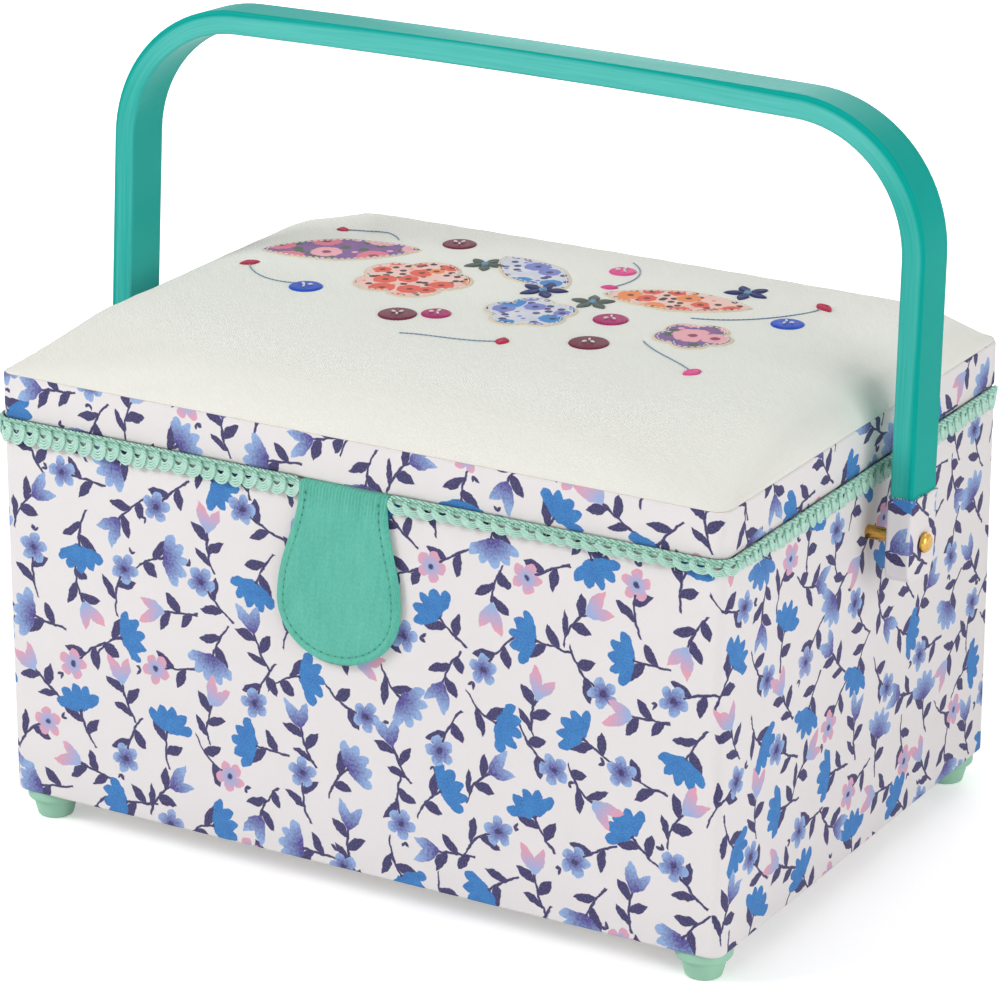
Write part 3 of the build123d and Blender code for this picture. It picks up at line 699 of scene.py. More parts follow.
def pull_marks(along, turn_rate, across, sway_rate, from_edge):
    """Shallow marks square to an edge, where the cloth is drawn down, that fade away from it."""
    swing = math.sin(along * turn_rate + 2 * math.sin(across * sway_rate))
    return PLEAT_DEPTH * swing * math.exp(-max(from_edge, 0) / PLEAT_REACH)


def crown_height(x, y):
    """Height of the padded top above the board, from the pull of the cloth at edges and corners."""
    side, end = cloth_high.x - abs(x), cloth_high.y - abs(y)
    back = (y / cloth_high.y + 1) / 2
    back *= back * (3 - 2 * back)
    slope = TOP_FRONT_SLOPE + (TOP_BACK_SLOPE - TOP_FRONT_SLOPE) * back
    rise = (1 - math.exp(-max(side, 0) / TOP_SIDE_SLOPE)) * (1 - math.exp(-max(end, 0) / slope))
    near = min(1.0, math.hypot(side, end) / (FRONT_PULL + (BACK_PULL - FRONT_PULL) * back))
    rise *= CORNER_SHARE + (1 - CORNER_SHARE) * near * near * (3 - 2 * near)
    dome = TOP_DOME * ((x / cloth_high.x) ** 2 + (y / cloth_high.y) ** 2) / 2
    pull = pull_marks(x, 0.31, y, 0.05, end) + pull_marks(y, 0.29, x, 0.06, side)
    return max(0.0, (TOP_RISE - dome + pull) * rise)


pad = block("ivory_top", cloth_low, cloth_high)
edit()
pick("edges", lambda e, m: upright(e))
bpy.ops.mesh.bevel(offset=TOP_CORNER * MM, segments=6, affect="EDGES")
for axis, reach in ((0, cloth_high.x), (1, cloth_high.y)):
    inner = GRID_STEP * int((reach - EDGE_CUTS[-1] - 2) / GRID_STEP)
    cut_planes(axis, [*range(-inner, inner + 1, GRID_STEP)])
    cut_planes(axis, [side * (reach - step) for step in EDGE_CUTS for side in (1, -1)])
close_edit()
for vertex in pad.data.vertices:
    if vertex.co.z / MM > cloth_low.z + 1:
        height = crown_height(vertex.co.x / MM, vertex.co.y / MM)
        vertex.co.z = (cloth_low.z + TOP_EDGE + height) * MM
inflate(pad, TOP_SWELL, lambda p: p.z < cloth_low.z + 0.4)
smooth(pad, 75)
dress(pad, twill_finish("ivory_twill", rgb(235, 234, 228), rgb(221, 220, 212), 1.3, 0.16))
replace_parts(pad, "lid_padding", "lid_top_cloth")
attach(pad, "lid")


# ---- scalloped braid ---------------------------------------------------------------------------
# Mint cotton braid glued under the lid's edge: a twisted header and overlapping loops of four
# threads. It hangs full at the left and is pushed up towards the front right corner, and loose
# fibres stand out of it, most of them where it is worn.
LOOP_PITCH = 6.3
LOOP_SWING = 2.4         # how far a loop swings to each side of its middle
LOOP_DROP = 8.6
LOOP_POINTS = 14
THREAD_RADIUS = 0.5
THREAD_OUT = 0.95        # back of the braid to the middle of its threads
HEADER_PITCH = 3.15      # length of one twist of the header
HEADER_SWING = 0.42
HEADER_RISE = 0.35
HEADER_POINTS = 12
PLAIT_PITCH = 2.33       # of the strip behind the loops
PLAIT_HEIGHT = 3.4
BRAID_TOP = 170.15
BRAID_FACE = (160.35, 118.35)     # its back, just clear of the walls
BRAID_BEND = CORNER + 0.8         # radius of its middle round a corner
BRAID_GAP = 0.3                   # between its end and the tab
# Share of the full drop at distances from the tab.
LEFT_DROP = [(0, 0.86), (60, 0.95), (140, 1.05), (400, 0.95)]
RIGHT_DROP = [(0, 0.72), (60, 0.6), (120, 0.56), (150, 0.66), (200, 0.9), (400, 0.95)]
FIBRE_ROOT = 0.13        # radius of a loose fibre
FIBRE_TIP = 0.07
FIBRE_SHORT = 0.7
FIBRE_LONG = 2.1
FIBRE_SUNK = 0.15        # how much of it is in the braid
FIBRE_LEVEL = 0.1        # how squarely it has to stand out
# Fibres on each side, and how far from the lid's middle the braid is still smooth.
FIBRES = {"left": (380, 150), "right": (1300, 70)}


def tube(points, radius):
    """A round thread through points in millimetres, made a mesh."""
    wipe_selection()
    bpy.ops.curve.primitive_nurbs_path_add()
    piece = bpy.context.object
    spline = piece.data.splines[0]
    spline.points.add(len(points) - len(spline.points))
    for point, place in zip(spline.points, points):
        point.co = (*[c * MM for c in place], 1)
    spline.order_u = 3
    spline.use_endpoint_u = True
    spline.resolution_u = 1
    piece.data.bevel_depth = radius * MM
    piece.data.bevel_resolution = 1
    bpy.ops.object.convert(target="MESH")
    return bpy.context.object


def joined(name, parts):
    """Makes several pieces one mesh."""
    wipe_selection()
    for part in parts:
        part.select_set(True)
    bpy.context.view_layer.objects.active = parts[0]
    if len(parts) > 1:
        bpy.ops.object.join()
    parts[0].name = name
    parts[0].data.name = name
    return parts[0]


def loop_thread(layer):
    """One loop of one of the braid's four threads, along X, outwards along Y and down from 0."""
    swing, drop = LOOP_SWING - 0.42 * layer, LOOP_DROP - 1.15 * layer
    points = []
    for i in range(LOOP_POINTS + 1):
        turn = math.tau * i / LOOP_POINTS
        along = LOOP_PITCH * i / LOOP_POINTS - swing * math.sin(turn)
        down = drop * (1 - math.cos(turn)) / 2
        points.append((along, THREAD_OUT + THREAD_RADIUS * math.sin(turn), -down))
    return tube(points, THREAD_RADIUS)


def header_strand(start):
    """One of the two strands that twist round each other along the top."""
    points = []
    for i in range(HEADER_POINTS + 1):
        turn = math.tau * (i / HEADER_POINTS * LOOP_PITCH / HEADER_PITCH + start)
        out = THREAD_OUT + HEADER_SWING * math.cos(turn)
        up = HEADER_RISE + HEADER_SWING * math.sin(turn)
        points.append((LOOP_PITCH * i / HEADER_POINTS, out, up))
    return tube(points, THREAD_RADIUS)


def backing_strip():
    """The plaited band behind one loop."""
    wipe_selection()
    bpy.ops.mesh.primitive_grid_add(x_subdivisions=7, y_subdivisions=4, size=1)
    piece = bpy.context.object
    for vertex in piece.data.vertices:
        along, up = (vertex.co.x + 0.5) * LOOP_PITCH, vertex.co.y
        out = 0.42 + 0.14 * math.sin(math.tau * (along / PLAIT_PITCH + up * 2))
        vertex.co = Vector((along, out, -1.6 + up * PLAIT_HEIGHT)) * MM
    return piece


def braid_drop(run, places):
    """Share of the full drop at a place along the braid."""
    for (low, low_share), (high, high_share) in zip(places, places[1:]):
        if run <= high:
            return low_share + (high_share - low_share) * max(0.0, run - low) / (high - low)
    return places[-1][1]


def braid_side(name, side, replaced):
    """The braid from the tab round one front corner to its end near the back."""
    front_low, front_high = node_box(f"braid_front_{replaced}")
    back_end = node_box(f"braid_side_{replaced}")[1].y
    start = min(abs(front_low.x), abs(front_high.x)) + BRAID_GAP
    face_x, face_y = BRAID_FACE
    straight_x, straight_y = face_x - CORNER, face_y - CORNER
    front_run, arc = straight_x - start, BRAID_BEND * math.pi / 2
    whole = front_run + arc + straight_y + back_end
    count = int(whole / LOOP_PITCH)
    loops = [loop_thread(i) for i in range(4)]
    piece = joined(name, [*loops, header_strand(0), header_strand(0.5), backing_strip()])
    apply(
        piece, "ARRAY", count=count, use_relative_offset=False, use_constant_offset=True,
        constant_offset_displace=(LOOP_PITCH * MM, 0, 0),
        use_merge_vertices=True, merge_threshold=0.1 * MM,
    )
    chance = random.Random(11 + side)
    sizes = [chance.uniform(0.9, 1.08) for _ in range(count + 2)]
    leans = [chance.uniform(-0.6, 0.6) for _ in range(count + 2)]
    stretch = whole / (count * LOOP_PITCH)
    for vertex in piece.data.vertices:
        run, out, down = vertex.co / MM
        loop = run / LOOP_PITCH
        first = max(0, min(count, int(loop)))
        part = min(1.0, max(0.0, loop - first))
        if down < 0:
            size = sizes[first] + (sizes[first + 1] - sizes[first]) * part
            lean = leans[first] + (leans[first + 1] - leans[first]) * part
            share = braid_drop(run, RIGHT_DROP if side > 0 else LEFT_DROP) * size
            run += lean * down / -LOOP_DROP
            out += (1 - min(1, share)) * 1.6 * down / -LOOP_DROP
            down *= share
        run *= stretch
        if run < front_run:
            x, y = start + run, -face_y - out
        elif run < front_run + arc:
            turn = (run - front_run) / BRAID_BEND
            x = straight_x + (CORNER + out) * math.sin(turn)
            y = -straight_y - (CORNER + out) * math.cos(turn)
        else:
            x, y = face_x + out, -straight_y + run - front_run - arc
        vertex.co = (side * x * MM, y * MM, (BRAID_TOP + down) * MM)
    edit()
    bpy.ops.mesh.select_all(action="SELECT")
    bpy.ops.mesh.fill_holes(sides=8)
    bpy.ops.mesh.select_all(action="SELECT")
    bpy.ops.mesh.normals_make_consistent(inside=False)
    close_edit()
    smooth(piece, 80)
    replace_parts(piece, f"braid_front_{replaced}", f"braid_side_{replaced}")
    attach(piece, "lid")
    return piece


def braid_finish():
    """Dyed cotton threads, with painted shade in the twisted header's hollows, so that the header
    is darker than the loops below it.
    """
    finish = Finish("mint_braid")
    place = finish.place()
    x, y, z = place.channels()
    fibre = place.noise(1.5, 3.0)
    cloud = place.noise(0.08, 2.0)
    # Painted shade: the header's twist is coloured darker in its hollows, and only above the loops,
    # under the lid's edge.
    twist = (x + y + z * 2.5).wave(HEADER_PITCH) * 0.5 + 0.5
    header = twist.mixed(rgb(84, 152, 128), rgb(208, 238, 226))
    below_painted_header_shade = z.between(BRAID_TOP - 0.4, BRAID_TOP - 3.4)
    tone = below_painted_header_shade.mixed(header, rgb(208, 240, 228))
    tone = (fibre * 0.6 + cloud * 0.25).mixed(tone, rgb(132, 190, 168))
    return finish.set(
        Base_Color=tone, Roughness=0.8, Specular_IOR_Level=0.3, Sheen_Weight=0.3,
        Normal=fibre.bump(0.15),
    )


def strewn(name, first, places):
    """Copies a small piece to each place, makes the copies one piece and drops the first."""
    copies = []
    for place in places:
        copy = first.copy()
        copy.data = first.data.copy()
        bpy.context.collection.objects.link(copy)
        copy.matrix_world = place
        copies.append(copy)
    bpy.data.objects.remove(first)
    piece = joined(name, copies)
    bpy.ops.object.transform_apply(location=True, rotation=True, scale=True)
    return piece


def thread_place(middle, direction, length):
    """Place of a cone one unit long that is made a thread this long, in millimetres."""
    turn = direction.to_track_quat("Z", "Y").to_matrix().to_4x4()
    turned = Matrix.Translation(middle) @ turn
    return turned @ Matrix.Scale(MM, 4) @ Matrix.Diagonal((1, 1, length, 1))


def braid_fuzz(name, braid, count, smooth_until):
    """Fibres that stand out of the braid's outer side: one is made and then copied."""
    chance = random.Random(count)
    wipe_selection()
    bpy.ops.mesh.primitive_cone_add(vertices=3, radius1=FIBRE_ROOT, radius2=FIBRE_TIP, depth=1)
    first = bpy.context.object
    points = braid.data.vertices
    places = []
    while len(places) < count:
        vertex = points[chance.randrange(len(points))]
        x, y, _ = vertex.co / MM
        past_x = max(0.0, abs(x) - BRAID_FACE[0] + CORNER)
        past_y = max(0.0, -y - BRAID_FACE[1] + CORNER)
        away = Vector((math.copysign(past_x, x), -past_y, 0)).normalized()
        worn = 1.0 if abs(x) > smooth_until else 0.2
        if vertex.normal.dot(away) < FIBRE_LEVEL or chance.random() > worn:
            continue
        stray = Vector([chance.uniform(-0.9, 0.9) for _ in range(3)])
        direction = (vertex.normal + stray).normalized()
        if direction.dot(away) < FIBRE_LEVEL:
            continue
        length = chance.uniform(FIBRE_SHORT, FIBRE_LONG)
        middle = vertex.co + direction * (length / 2 - FIBRE_SUNK) * MM
        places.append(thread_place(middle, direction, length))
    piece = strewn(name, first, places)
    dress(piece, fibre_cotton)
    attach(piece, "lid")


def fibre_finish():
    """Single fibres of the braid, paler than its twisted threads."""
    finish = Finish("mint_fibre")
    cloud = finish.place().noise(0.6, 2.0)
    tone = cloud.mixed(rgb(176, 220, 202), rgb(230, 245, 239))
    return finish.set(
        Base_Color=tone, Roughness=0.85, Specular_IOR_Level=0.3, Normal=cloud.bump(0.02)
    )


braid_cotton = braid_finish()
fibre_cotton = fibre_finish()
for side, side_name in ((-1, "left"), (1, "right")):
    braid = braid_side(f"mint_braid_{side_name}", side, side_name)
    dress(braid, braid_cotton)
    braid_fuzz(f"braid_fuzz_{side_name}", braid, *FIBRES[side_name])


# ---- fastening tab -----------------------------------------------------------------------------
# Mint twill sewn and turned over card, with one row of stitches inside its edge. Its upper end is
# glued under the lid, so the cloth bends there when the tab is lifted off its magnet.
tab_low = node_box("tab_cover")[0]
TAB_NECK = 19.5          # half its width at the top
TAB_BELLY = 27.6         # half its width where it is widest
TAB_WIDEST = 122.5       # how high that is
TAB_SWAY = 19.6          # length of the neck's curve at each end
TAB_ROUND = 0.56         # fullness of the curve round its tip
TAB_SEAM = 3.5           # edge to the row of stitches
SEAM_DEPTH = 0.26
SEAM_WIDTH = 0.8
TAB_LEAN = 4.7           # how far its tip hangs to the left
TAB_AXIS = 169.1         # height where it bends
TAB_START = TAB_AXIS - 0.6        # and where it hangs straight
TAB_MIDDLE = -119.75
TAB_HALF = 1.38          # half its thickness
TAB_TAPER = 7            # length over which it grows to that
TAB_EDGE = 1.5           # how far in its edge is rounded
RIB_LOW = 158.0          # the cloth is ribbed above this, where it is drawn in
RIB_HIGH = 166.5
ROOT_HALF = 0.36
ROOT_PATH = [(-112.8, 170.1), (-115.4, 170.1), (-117.7, 170.08), (-118.8, 169.9), (-119.5, 169.4)]
TAB_ROWS = 30            # rows of faces down each half of the outline
TAB_COLUMNS = 34
FACE_Y = TAB_MIDDLE - TAB_HALF


def bezier(ends, share):
    """Place on a curve with four control points."""
    a, b, c, d = ends
    rest = 1 - share
    weights = (rest**3, 3 * rest * rest * share, 3 * rest * share * share, share**3)
    return tuple(sum(w * p[i] for w, p in zip(weights, (a, b, c, d))) for i in range(2))


def tab_edge(inset, steps):
    """Half of the tab's outline from its neck to its tip, as half width and height."""
    neck, belly, low = TAB_NECK - inset, TAB_BELLY - inset, tab_low.z + inset
    fall = TAB_ROUND * (TAB_WIDEST - low)
    neck_bend, belly_bend = (neck, TAB_AXIS - TAB_SWAY), (belly, TAB_WIDEST + TAB_SWAY)
    upper = ((neck, TAB_AXIS), neck_bend, belly_bend, (belly, TAB_WIDEST))
    lower = ((belly, TAB_WIDEST), (belly, TAB_WIDEST - fall), (TAB_ROUND * belly, low), (0, low))
    points = [bezier(upper, i / steps) for i in range(steps)]
    return points + [bezier(lower, i / steps) for i in range(steps + 1)]


def tab_lean(height):
    """How far the tab has moved to the left at a height."""
    fall = max(0.0, (TAB_AXIS - height) / (TAB_AXIS - tab_low.z))
    return -TAB_LEAN * fall


edge_points = tab_edge(0, 60)
row_edges = tab_edge(0, TAB_ROWS)


def tab_row(index):
    """Half width, middle place in Y and Z, direction of the face and half thickness of one row."""
    if index < len(ROOT_PATH):
        path = ROOT_PATH + [(TAB_MIDDLE, TAB_START)]
        (y, z), (y_next, z_next) = path[index], path[index + 1]
        length = math.hypot(y_next - y, z_next - z)
        facing = ((z_next - z) / length, -(y_next - y) / length)
        return TAB_NECK, y, z, facing, ROOT_HALF
    width, z = row_edges[index - len(ROOT_PATH)]
    z = min(z, TAB_START)
    grown = min(1.0, (TAB_AXIS - z) / TAB_TAPER)
    return width, TAB_MIDDLE, z, (-1, 0), ROOT_HALF + (TAB_HALF - ROOT_HALF) * grown


def tab_sheet(name, side):
    """The tab's face or its back: a grid drawn to the outline, rounded there, sunk at the seam."""
    rows = len(ROOT_PATH) + len(row_edges) - 1
    wipe_selection()
    bpy.ops.mesh.primitive_grid_add(x_subdivisions=TAB_COLUMNS, y_subdivisions=rows, size=1)
    piece = settled(name)
    seam = piece.data.attributes.new("edge_distance", "FLOAT", "POINT")
    layer = piece.data.uv_layers[0]
    layer.name = "cloth"
    flat = {}
    for vertex in piece.data.vertices:
        share, index = vertex.co.x * 2, round((0.5 - vertex.co.y) * rows)
        width, y, z, facing, half = tab_row(index)
        x = share * width
        if index < len(ROOT_PATH):
            distance = TAB_NECK - abs(x)
        else:
            distance = min(math.hypot(abs(x) - ex, z - ez) for ex, ez in edge_points)
        rounding = math.sqrt(1 - (1 - min(1, distance / TAB_EDGE)) ** 2)
        groove = crease = 0
        if half > 1:
            groove = SEAM_DEPTH * math.exp(-(((distance - TAB_SEAM) / SEAM_WIDTH) ** 2))
            crease = 0.1 * math.sin(x * 0.21 + z * 0.13) * min(1, distance / 8)
        out = side * half * rounding - side * groove + crease
        vertex.co = Vector((x + tab_lean(z), y + facing[0] * out, z + facing[1] * out)) * MM
        seam.data[vertex.index].value = distance
        flat[vertex.index] = (x, z if index >= len(ROOT_PATH) else z - TAB_MIDDLE + y)
    for loop in piece.data.loops:
        layer.data[loop.index].uv = [c * MM for c in flat[loop.vertex_index]]
    return piece


tab = joined("mint_tab", [tab_sheet("tab_face", 1), tab_sheet("tab_back", -1)])
edit()
bpy.ops.mesh.select_all(action="SELECT")
bpy.ops.mesh.remove_doubles(threshold=0.02 * MM)
bpy.ops.mesh.normals_make_consistent(inside=False)
close_edit()
smooth(tab, 60)


def stitch_row(name, line, facing, pitch, length, width):
    """Separate stitches along a line of places, in millimetres: one is made and then copied."""
    wipe_selection()
    bpy.ops.mesh.primitive_uv_sphere_add(segments=6, ring_count=4, radius=0.5)
    first = bpy.context.object
    places, left = [], pitch / 2
    for place, following in zip(line, line[1:]):
        step = following - place
        while left <= step.length:
            along = step.normalized()
            side = facing.cross(along).normalized()
            turned = Matrix((side * width, along.cross(side) * -width, along * length)).transposed()
            spot = (place + along * left) * MM
            places.append(Matrix.Translation(spot) @ (turned * MM).to_4x4())
            left += pitch
        left -= step.length
    piece = strewn(name, first, places)
    edit()
    bpy.ops.mesh.select_all(action="SELECT")
    bpy.ops.mesh.normals_make_consistent(inside=False)
    close_edit()
    smooth(piece, 80)
    return piece


seam_half = [p for p in tab_edge(TAB_SEAM, 40) if p[1] < TAB_AXIS - 1]
seam_whole = [(-x, z) for x, z in seam_half] + [(x, z) for x, z in reversed(seam_half[:-1])]
seam_line = [Vector((x + tab_lean(z), FACE_Y + 0.22, z)) for x, z in seam_whole]
FORWARD = Vector((0, -1, 0))
tab_stitches = stitch_row("tab_stitches", seam_line, FORWARD, pitch=3.2, length=1.3, width=0.5)


def tab_finish():
    """Twill with slanting ridges, ribbed where it is drawn in at the top, with painted shade along
    its seam.
    """
    finish = Finish("mint_twill")
    cloth = finish.place("UV")
    u, v, _ = cloth.channels()
    edge = finish.attribute("edge_distance")
    ridge = (u * 1.25 + v * 0.3).wave(0.8)
    thread = v.wave(0.7) * u.wave(1.1)
    cloud = cloth.noise(0.05, 3.0, "2D")
    weave = ridge * 0.3 + thread * 0.12 + 0.5
    fuzz = cloth.noise(0.7, 3.0, "2D")
    brushed = (u * 0.5).joined(v * 0.07, 0.0).noise(1.0, 3.0, "2D")
    worn = weave * 0.35 + cloud * 0.3 + fuzz * 0.45 + (brushed - 0.5) * 0.35
    base = worn.mixed(rgb(54, 154, 132), rgb(110, 200, 180))
    top = v.between(RIB_LOW, RIB_HIGH)
    rib = u.wave(1.45) * top
    base = (rib * 0.35).math("MAXIMUM", 0.0).mixed(base, rgb(48, 142, 112))
    # Painted shade: the cloth is coloured darker along the sunk seam.
    seam_painted_shade = (0.5 - abs(edge - TAB_SEAM)).inside(0.5)
    base = (seam_painted_shade * 0.25).mixed(base, rgb(44, 138, 110))
    height = weave + rib * 0.9 + cloud * 0.8
    return finish.set(
        Base_Color=base, Roughness=0.85, Specular_IOR_Level=0.2, Sheen_Weight=0.25,
        Normal=height.bump(0.16),
    )


dress(tab, tab_finish())
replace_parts(tab, "tab_cover", "tab_backing", "tab_root", "tab_stiffener")
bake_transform(tab)


def thread_finish(name, tone, shade):
    """Sewing thread: two plies that wind round each other."""
    finish = Finish(name)
    place = finish.place()
    x, y, z = place.channels()
    ply = (x + y + z * 1.4).wave(0.5)
    base = (ply * 0.3 + 0.5).mixed(shade, tone)
    return finish.set(Base_Color=base, Roughness=0.6, Sheen_Weight=0.2, Normal=ply.bump(0.05))


dress(tab_stitches, thread_finish("mint_thread", rgb(30, 120, 94), rgb(18, 96, 74)))
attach(tab_stitches, "tab")


# ---- sleeves on the handle's ends --------------------------------------------------------------
# Each leg end is wrapped in the printed cotton, folded over at the bottom and left raw at the top,
# where its threads fray. The brass screw goes through it.
SLEEVE_INNER = 172.55    # its face towards the box, from the box's middle
SLEEVE_OUTER = 183.05
SLEEVE_HALF = 11.25      # half its depth
SLEEVE_LOW = 130.2
SLEEVE_HIGH = 163.5
SLEEVE_WRAP = 3.0        # height of the turned edge at the bottom
SLEEVE_ROUND = 4.2
SLEEVE_FOLD = 0.9
SLEEVE_FLARE = 5         # how far below its raw edge it starts to stand away
SLEEVE_GRID = 2.4
FRAY_INNER = 172.5       # the raw edge, on the cloth's outer side
FRAY_OUTER = 183.1
FRAY_HALF = 11.3
FRAY_HEIGHT = 163.1
FRAY_THREADS = 110
HANDLE_LEAN = 3.6        # in degrees
PIVOT_HEIGHT = 144.7


def lean_back(point):
    """Turns a place on the upright handle to where it stands, in millimetres."""
    turn = math.radians(HANDLE_LEAN)
    x, y, z = point
    up = z - PIVOT_HEIGHT
    back = y * math.cos(turn) + up * math.sin(turn)
    return Vector((x, back, PIVOT_HEIGHT + up * math.cos(turn) - y * math.sin(turn)))


def leg_sleeve(name, side):
    """Cloth round one leg's end, with its slack and creases, closed below and open above."""
    inner, outer, half = SLEEVE_INNER, SLEEVE_OUTER, SLEEVE_HALF
    low, high = SLEEVE_LOW, SLEEVE_HIGH
    xs = sorted((side * inner, side * outer))
    piece = block(name, (xs[0], -half, low), (xs[1], half, high))
    edit()
    pick("edges", lambda e, m: abs(m.z - low) < 0.01 and abs(abs(m.y) - half) < 0.01)
    bpy.ops.mesh.bevel(offset=SLEEVE_ROUND * MM, segments=4, affect="EDGES")
    pick("faces", lambda f, m: m.z > high - 0.01)
    bpy.ops.mesh.delete(type="FACE")
    pick("edges", lambda e, m: len(e.link_faces) == 2 and e.calc_face_angle() > math.radians(60))
    bpy.ops.mesh.bevel(offset=SLEEVE_FOLD * MM, segments=2, affect="EDGES")
    cut_planes(0, [side * (inner + i * 2.1) for i in range(1, 5)])
    cut_planes(1, [-half + i * SLEEVE_GRID for i in range(1, 10)])
    cut_planes(2, [low + SLEEVE_WRAP + i * SLEEVE_GRID for i in range(13)])
    cut_planes(2, [low + SLEEVE_WRAP - 0.5])
    close_edit()
    mesh = piece.data
    middle_x = side * (inner + outer) / 2
    layer = mesh.uv_layers[0]
    layer.name = "cloth"
    for face in mesh.polygons:
        flat_end = abs(face.normal.x) > 0.7
        for corner in face.loop_indices:
            x, y, z = mesh.vertices[mesh.loops[corner].vertex_index].co / MM
            round_leg = y if flat_end else (half + (x - middle_x) * side) * (1 if y > 0 else -1)
            layer.data[corner].uv = ((round_leg + side * 70) * MM, z * MM)
    for vertex in mesh.vertices:
        place = vertex.co / MM
        out = Vector(((place.x - middle_x) / 5.2, place.y / half, 0))
        slack = noise.noise(Vector((place.x * 0.12 + side * 9, place.y * 0.12, place.z * 0.11)))
        creased = (place.x * 0.5, place.y * 0.16 + place.z * 0.05, place.z * 0.35 + 4)
        crease = noise.noise(Vector(creased))
        grow = 0.42 * slack + 0.22 * crease
        if place.z < low + SLEEVE_WRAP - 0.2:
            grow += 0.28
        flare = max(0.0, (place.z - high + SLEEVE_FLARE) / SLEEVE_FLARE)
        grow += 0.3 * flare * flare
        place += out.normalized() * max(grow, -0.25) if out.length > 0.01 else Vector()
        if place.z > high - 0.1:
            place.z += 0.8 * noise.noise(Vector((place.x * 0.3, place.y * 0.24, 2))) - 0.3
        vertex.co = lean_back(place) * MM
    apply(piece, "SUBSURF", levels=1, render_levels=1)
    apply(piece, "SOLIDIFY", thickness=0.4 * MM, offset=-1)
    smooth(piece, 60)
    dress(piece, sleeve_cotton)
    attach(piece, "handle")
    return piece


def frayed_edge(name, side):
    """Loose white threads along a sleeve's raw edge: one is made and then copied."""
    chance = random.Random(31 + side)
    wipe_selection()
    bpy.ops.mesh.primitive_cone_add(vertices=4, radius1=0.13, radius2=0.03, depth=1)
    first = bpy.context.object
    inner, outer, half = FRAY_INNER, FRAY_OUTER, FRAY_HALF
    width = outer - inner
    places = []
    for _ in range(FRAY_THREADS):
        run = chance.uniform(0, 2 * width + 4 * half)
        if run < width:
            x, y = inner + run, -half
        elif run < width + 2 * half:
            x, y = outer, run - width - half
        elif run < 2 * width + 2 * half:
            x, y = outer - (run - width - 2 * half), half
        else:
            x, y = inner, half - (run - 2 * width - 2 * half)
        out = Vector((x - (inner + outer) / 2, y / 2, 0)).normalized()
        stray_x = out.x * 0.25 + chance.uniform(-0.5, 0.5)
        stray_y = out.y * 0.25 + chance.uniform(-0.5, 0.5)
        length = chance.uniform(0.8, 2.2)
        middle = lean_back((side * x, y, FRAY_HEIGHT + chance.uniform(-0.2, 0.3)))
        places.append(thread_place(middle * MM, Vector((side * stray_x, stray_y, 1)), length))
    piece = strewn(name, first, places)
    dress(piece, raw_thread)
    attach(piece, "handle")


sleeve_cotton = printed_finish("printed_cotton_sleeves", (20, 34))
raw_thread = thread_finish("raw_cotton_thread", rgb(246, 244, 242), rgb(222, 218, 216))
for side, side_name in ((-1, "left"), (1, "right")):
    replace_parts(leg_sleeve(f"printed_sleeve_{side_name}", side), f"handle_sleeve_{side_name}")
    frayed_edge(f"sleeve_fray_{side_name}", side)


# ---- lid design --------------------------------------------------------------------------------
# A spray of cloth patches sewn on the lid, each with a whipped cream edge and a row of white
# stitches, and between them satin-stitched berries, small flowers and stems in stem stitch.
PATCH_STEPS = [0.035, 0.04, 0.05, 0.12, 0.18, 0.2, 0.18]     # rings of faces, from its edge in
PATCH_SIDES = 60
PETAL_DEPTH = 0.17       # of an open flower's outline, as a share of its radius
LEAF_POWER = 1.45        # between a straight-sided leaf, 1, and an oval, 2
PATCH_TUCK = -0.25       # its edge is drawn down into the twill by this
PATCH_LIFT = 0.32        # and the rest of it lies this far above
WHIP_RISE = 0.22         # how far the whipped edge stands above the patch
WHIP_MIDDLE = 1.1
WHIP_WIDTH = 0.9
UPWARD = Vector((0, 0, 1))
pad_points = [v.co for v in pad.data.vertices]
pad_tree = BVHTree.FromPolygons(pad_points, [tuple(f.vertices) for f in pad.data.polygons])


def on_lid(x, y, above=0.0):
    """Place on the padded top over a point, in millimetres, raised by a little."""
    hit = pad_tree.ray_cast(Vector((x * MM, y * MM, 0.3)), -UPWARD)[0]
    return Vector((x, y, hit.z / MM + above))


def patch(name, outline, place, turn, material):
    """A flat patch laid on the lid: its outline is a radius for each angle."""
    wipe_selection()
    bpy.ops.mesh.primitive_circle_add(vertices=PATCH_SIDES, radius=1, fill_type="NGON")
    piece = settled(name)
    edit()
    bpy.ops.mesh.select_mode(type="FACE")
    bpy.ops.mesh.select_all(action="SELECT")
    for step in PATCH_STEPS:
        bpy.ops.mesh.inset(thickness=step)
    bpy.ops.mesh.poke()
    close_edit()
    mesh = piece.data
    edge = mesh.attributes.new("edge_distance", "FLOAT", "POINT")
    layer = mesh.uv_layers[0]
    layer.name = "cloth"
    flat = {}
    c, s = math.cos(math.radians(turn)), math.sin(math.radians(turn))
    for vertex in mesh.vertices:
        reach = math.hypot(vertex.co.x, vertex.co.y)
        angle = math.atan2(vertex.co.y, vertex.co.x)
        radius = outline(angle)
        x, y = reach * radius * math.cos(angle), reach * radius * math.sin(angle)
        distance = (1 - min(1, reach)) * radius
        above = PATCH_TUCK
        if reach <= 0.99:
            whip = math.exp(-(((distance - WHIP_MIDDLE) / WHIP_WIDTH) ** 2))
            above = PATCH_LIFT + WHIP_RISE * whip
        edge.data[vertex.index].value = distance
        flat[vertex.index] = (x, y)
        vertex.co = on_lid(place[0] + x * c - y * s, place[1] + x * s + y * c, above) * MM
    for loop in mesh.loops:
        layer.data[loop.index].uv = [(c + 100 + place[0]) * MM for c in flat[loop.vertex_index]]
    edit()
    bpy.ops.mesh.select_all(action="SELECT")
    bpy.ops.mesh.normals_make_consistent(inside=False)
    close_edit()
    smooth(piece, 80)
    dress(piece, material)
    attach(piece, "lid")
    return piece


def blossom(radius):
    """Outline of an open flower with five petals."""
    def outline(angle):
        petal = abs(math.cos(angle * 5 / 2)) ** 0.7
        return radius * (1 - PETAL_DEPTH + PETAL_DEPTH * petal * 1.35)
    return outline


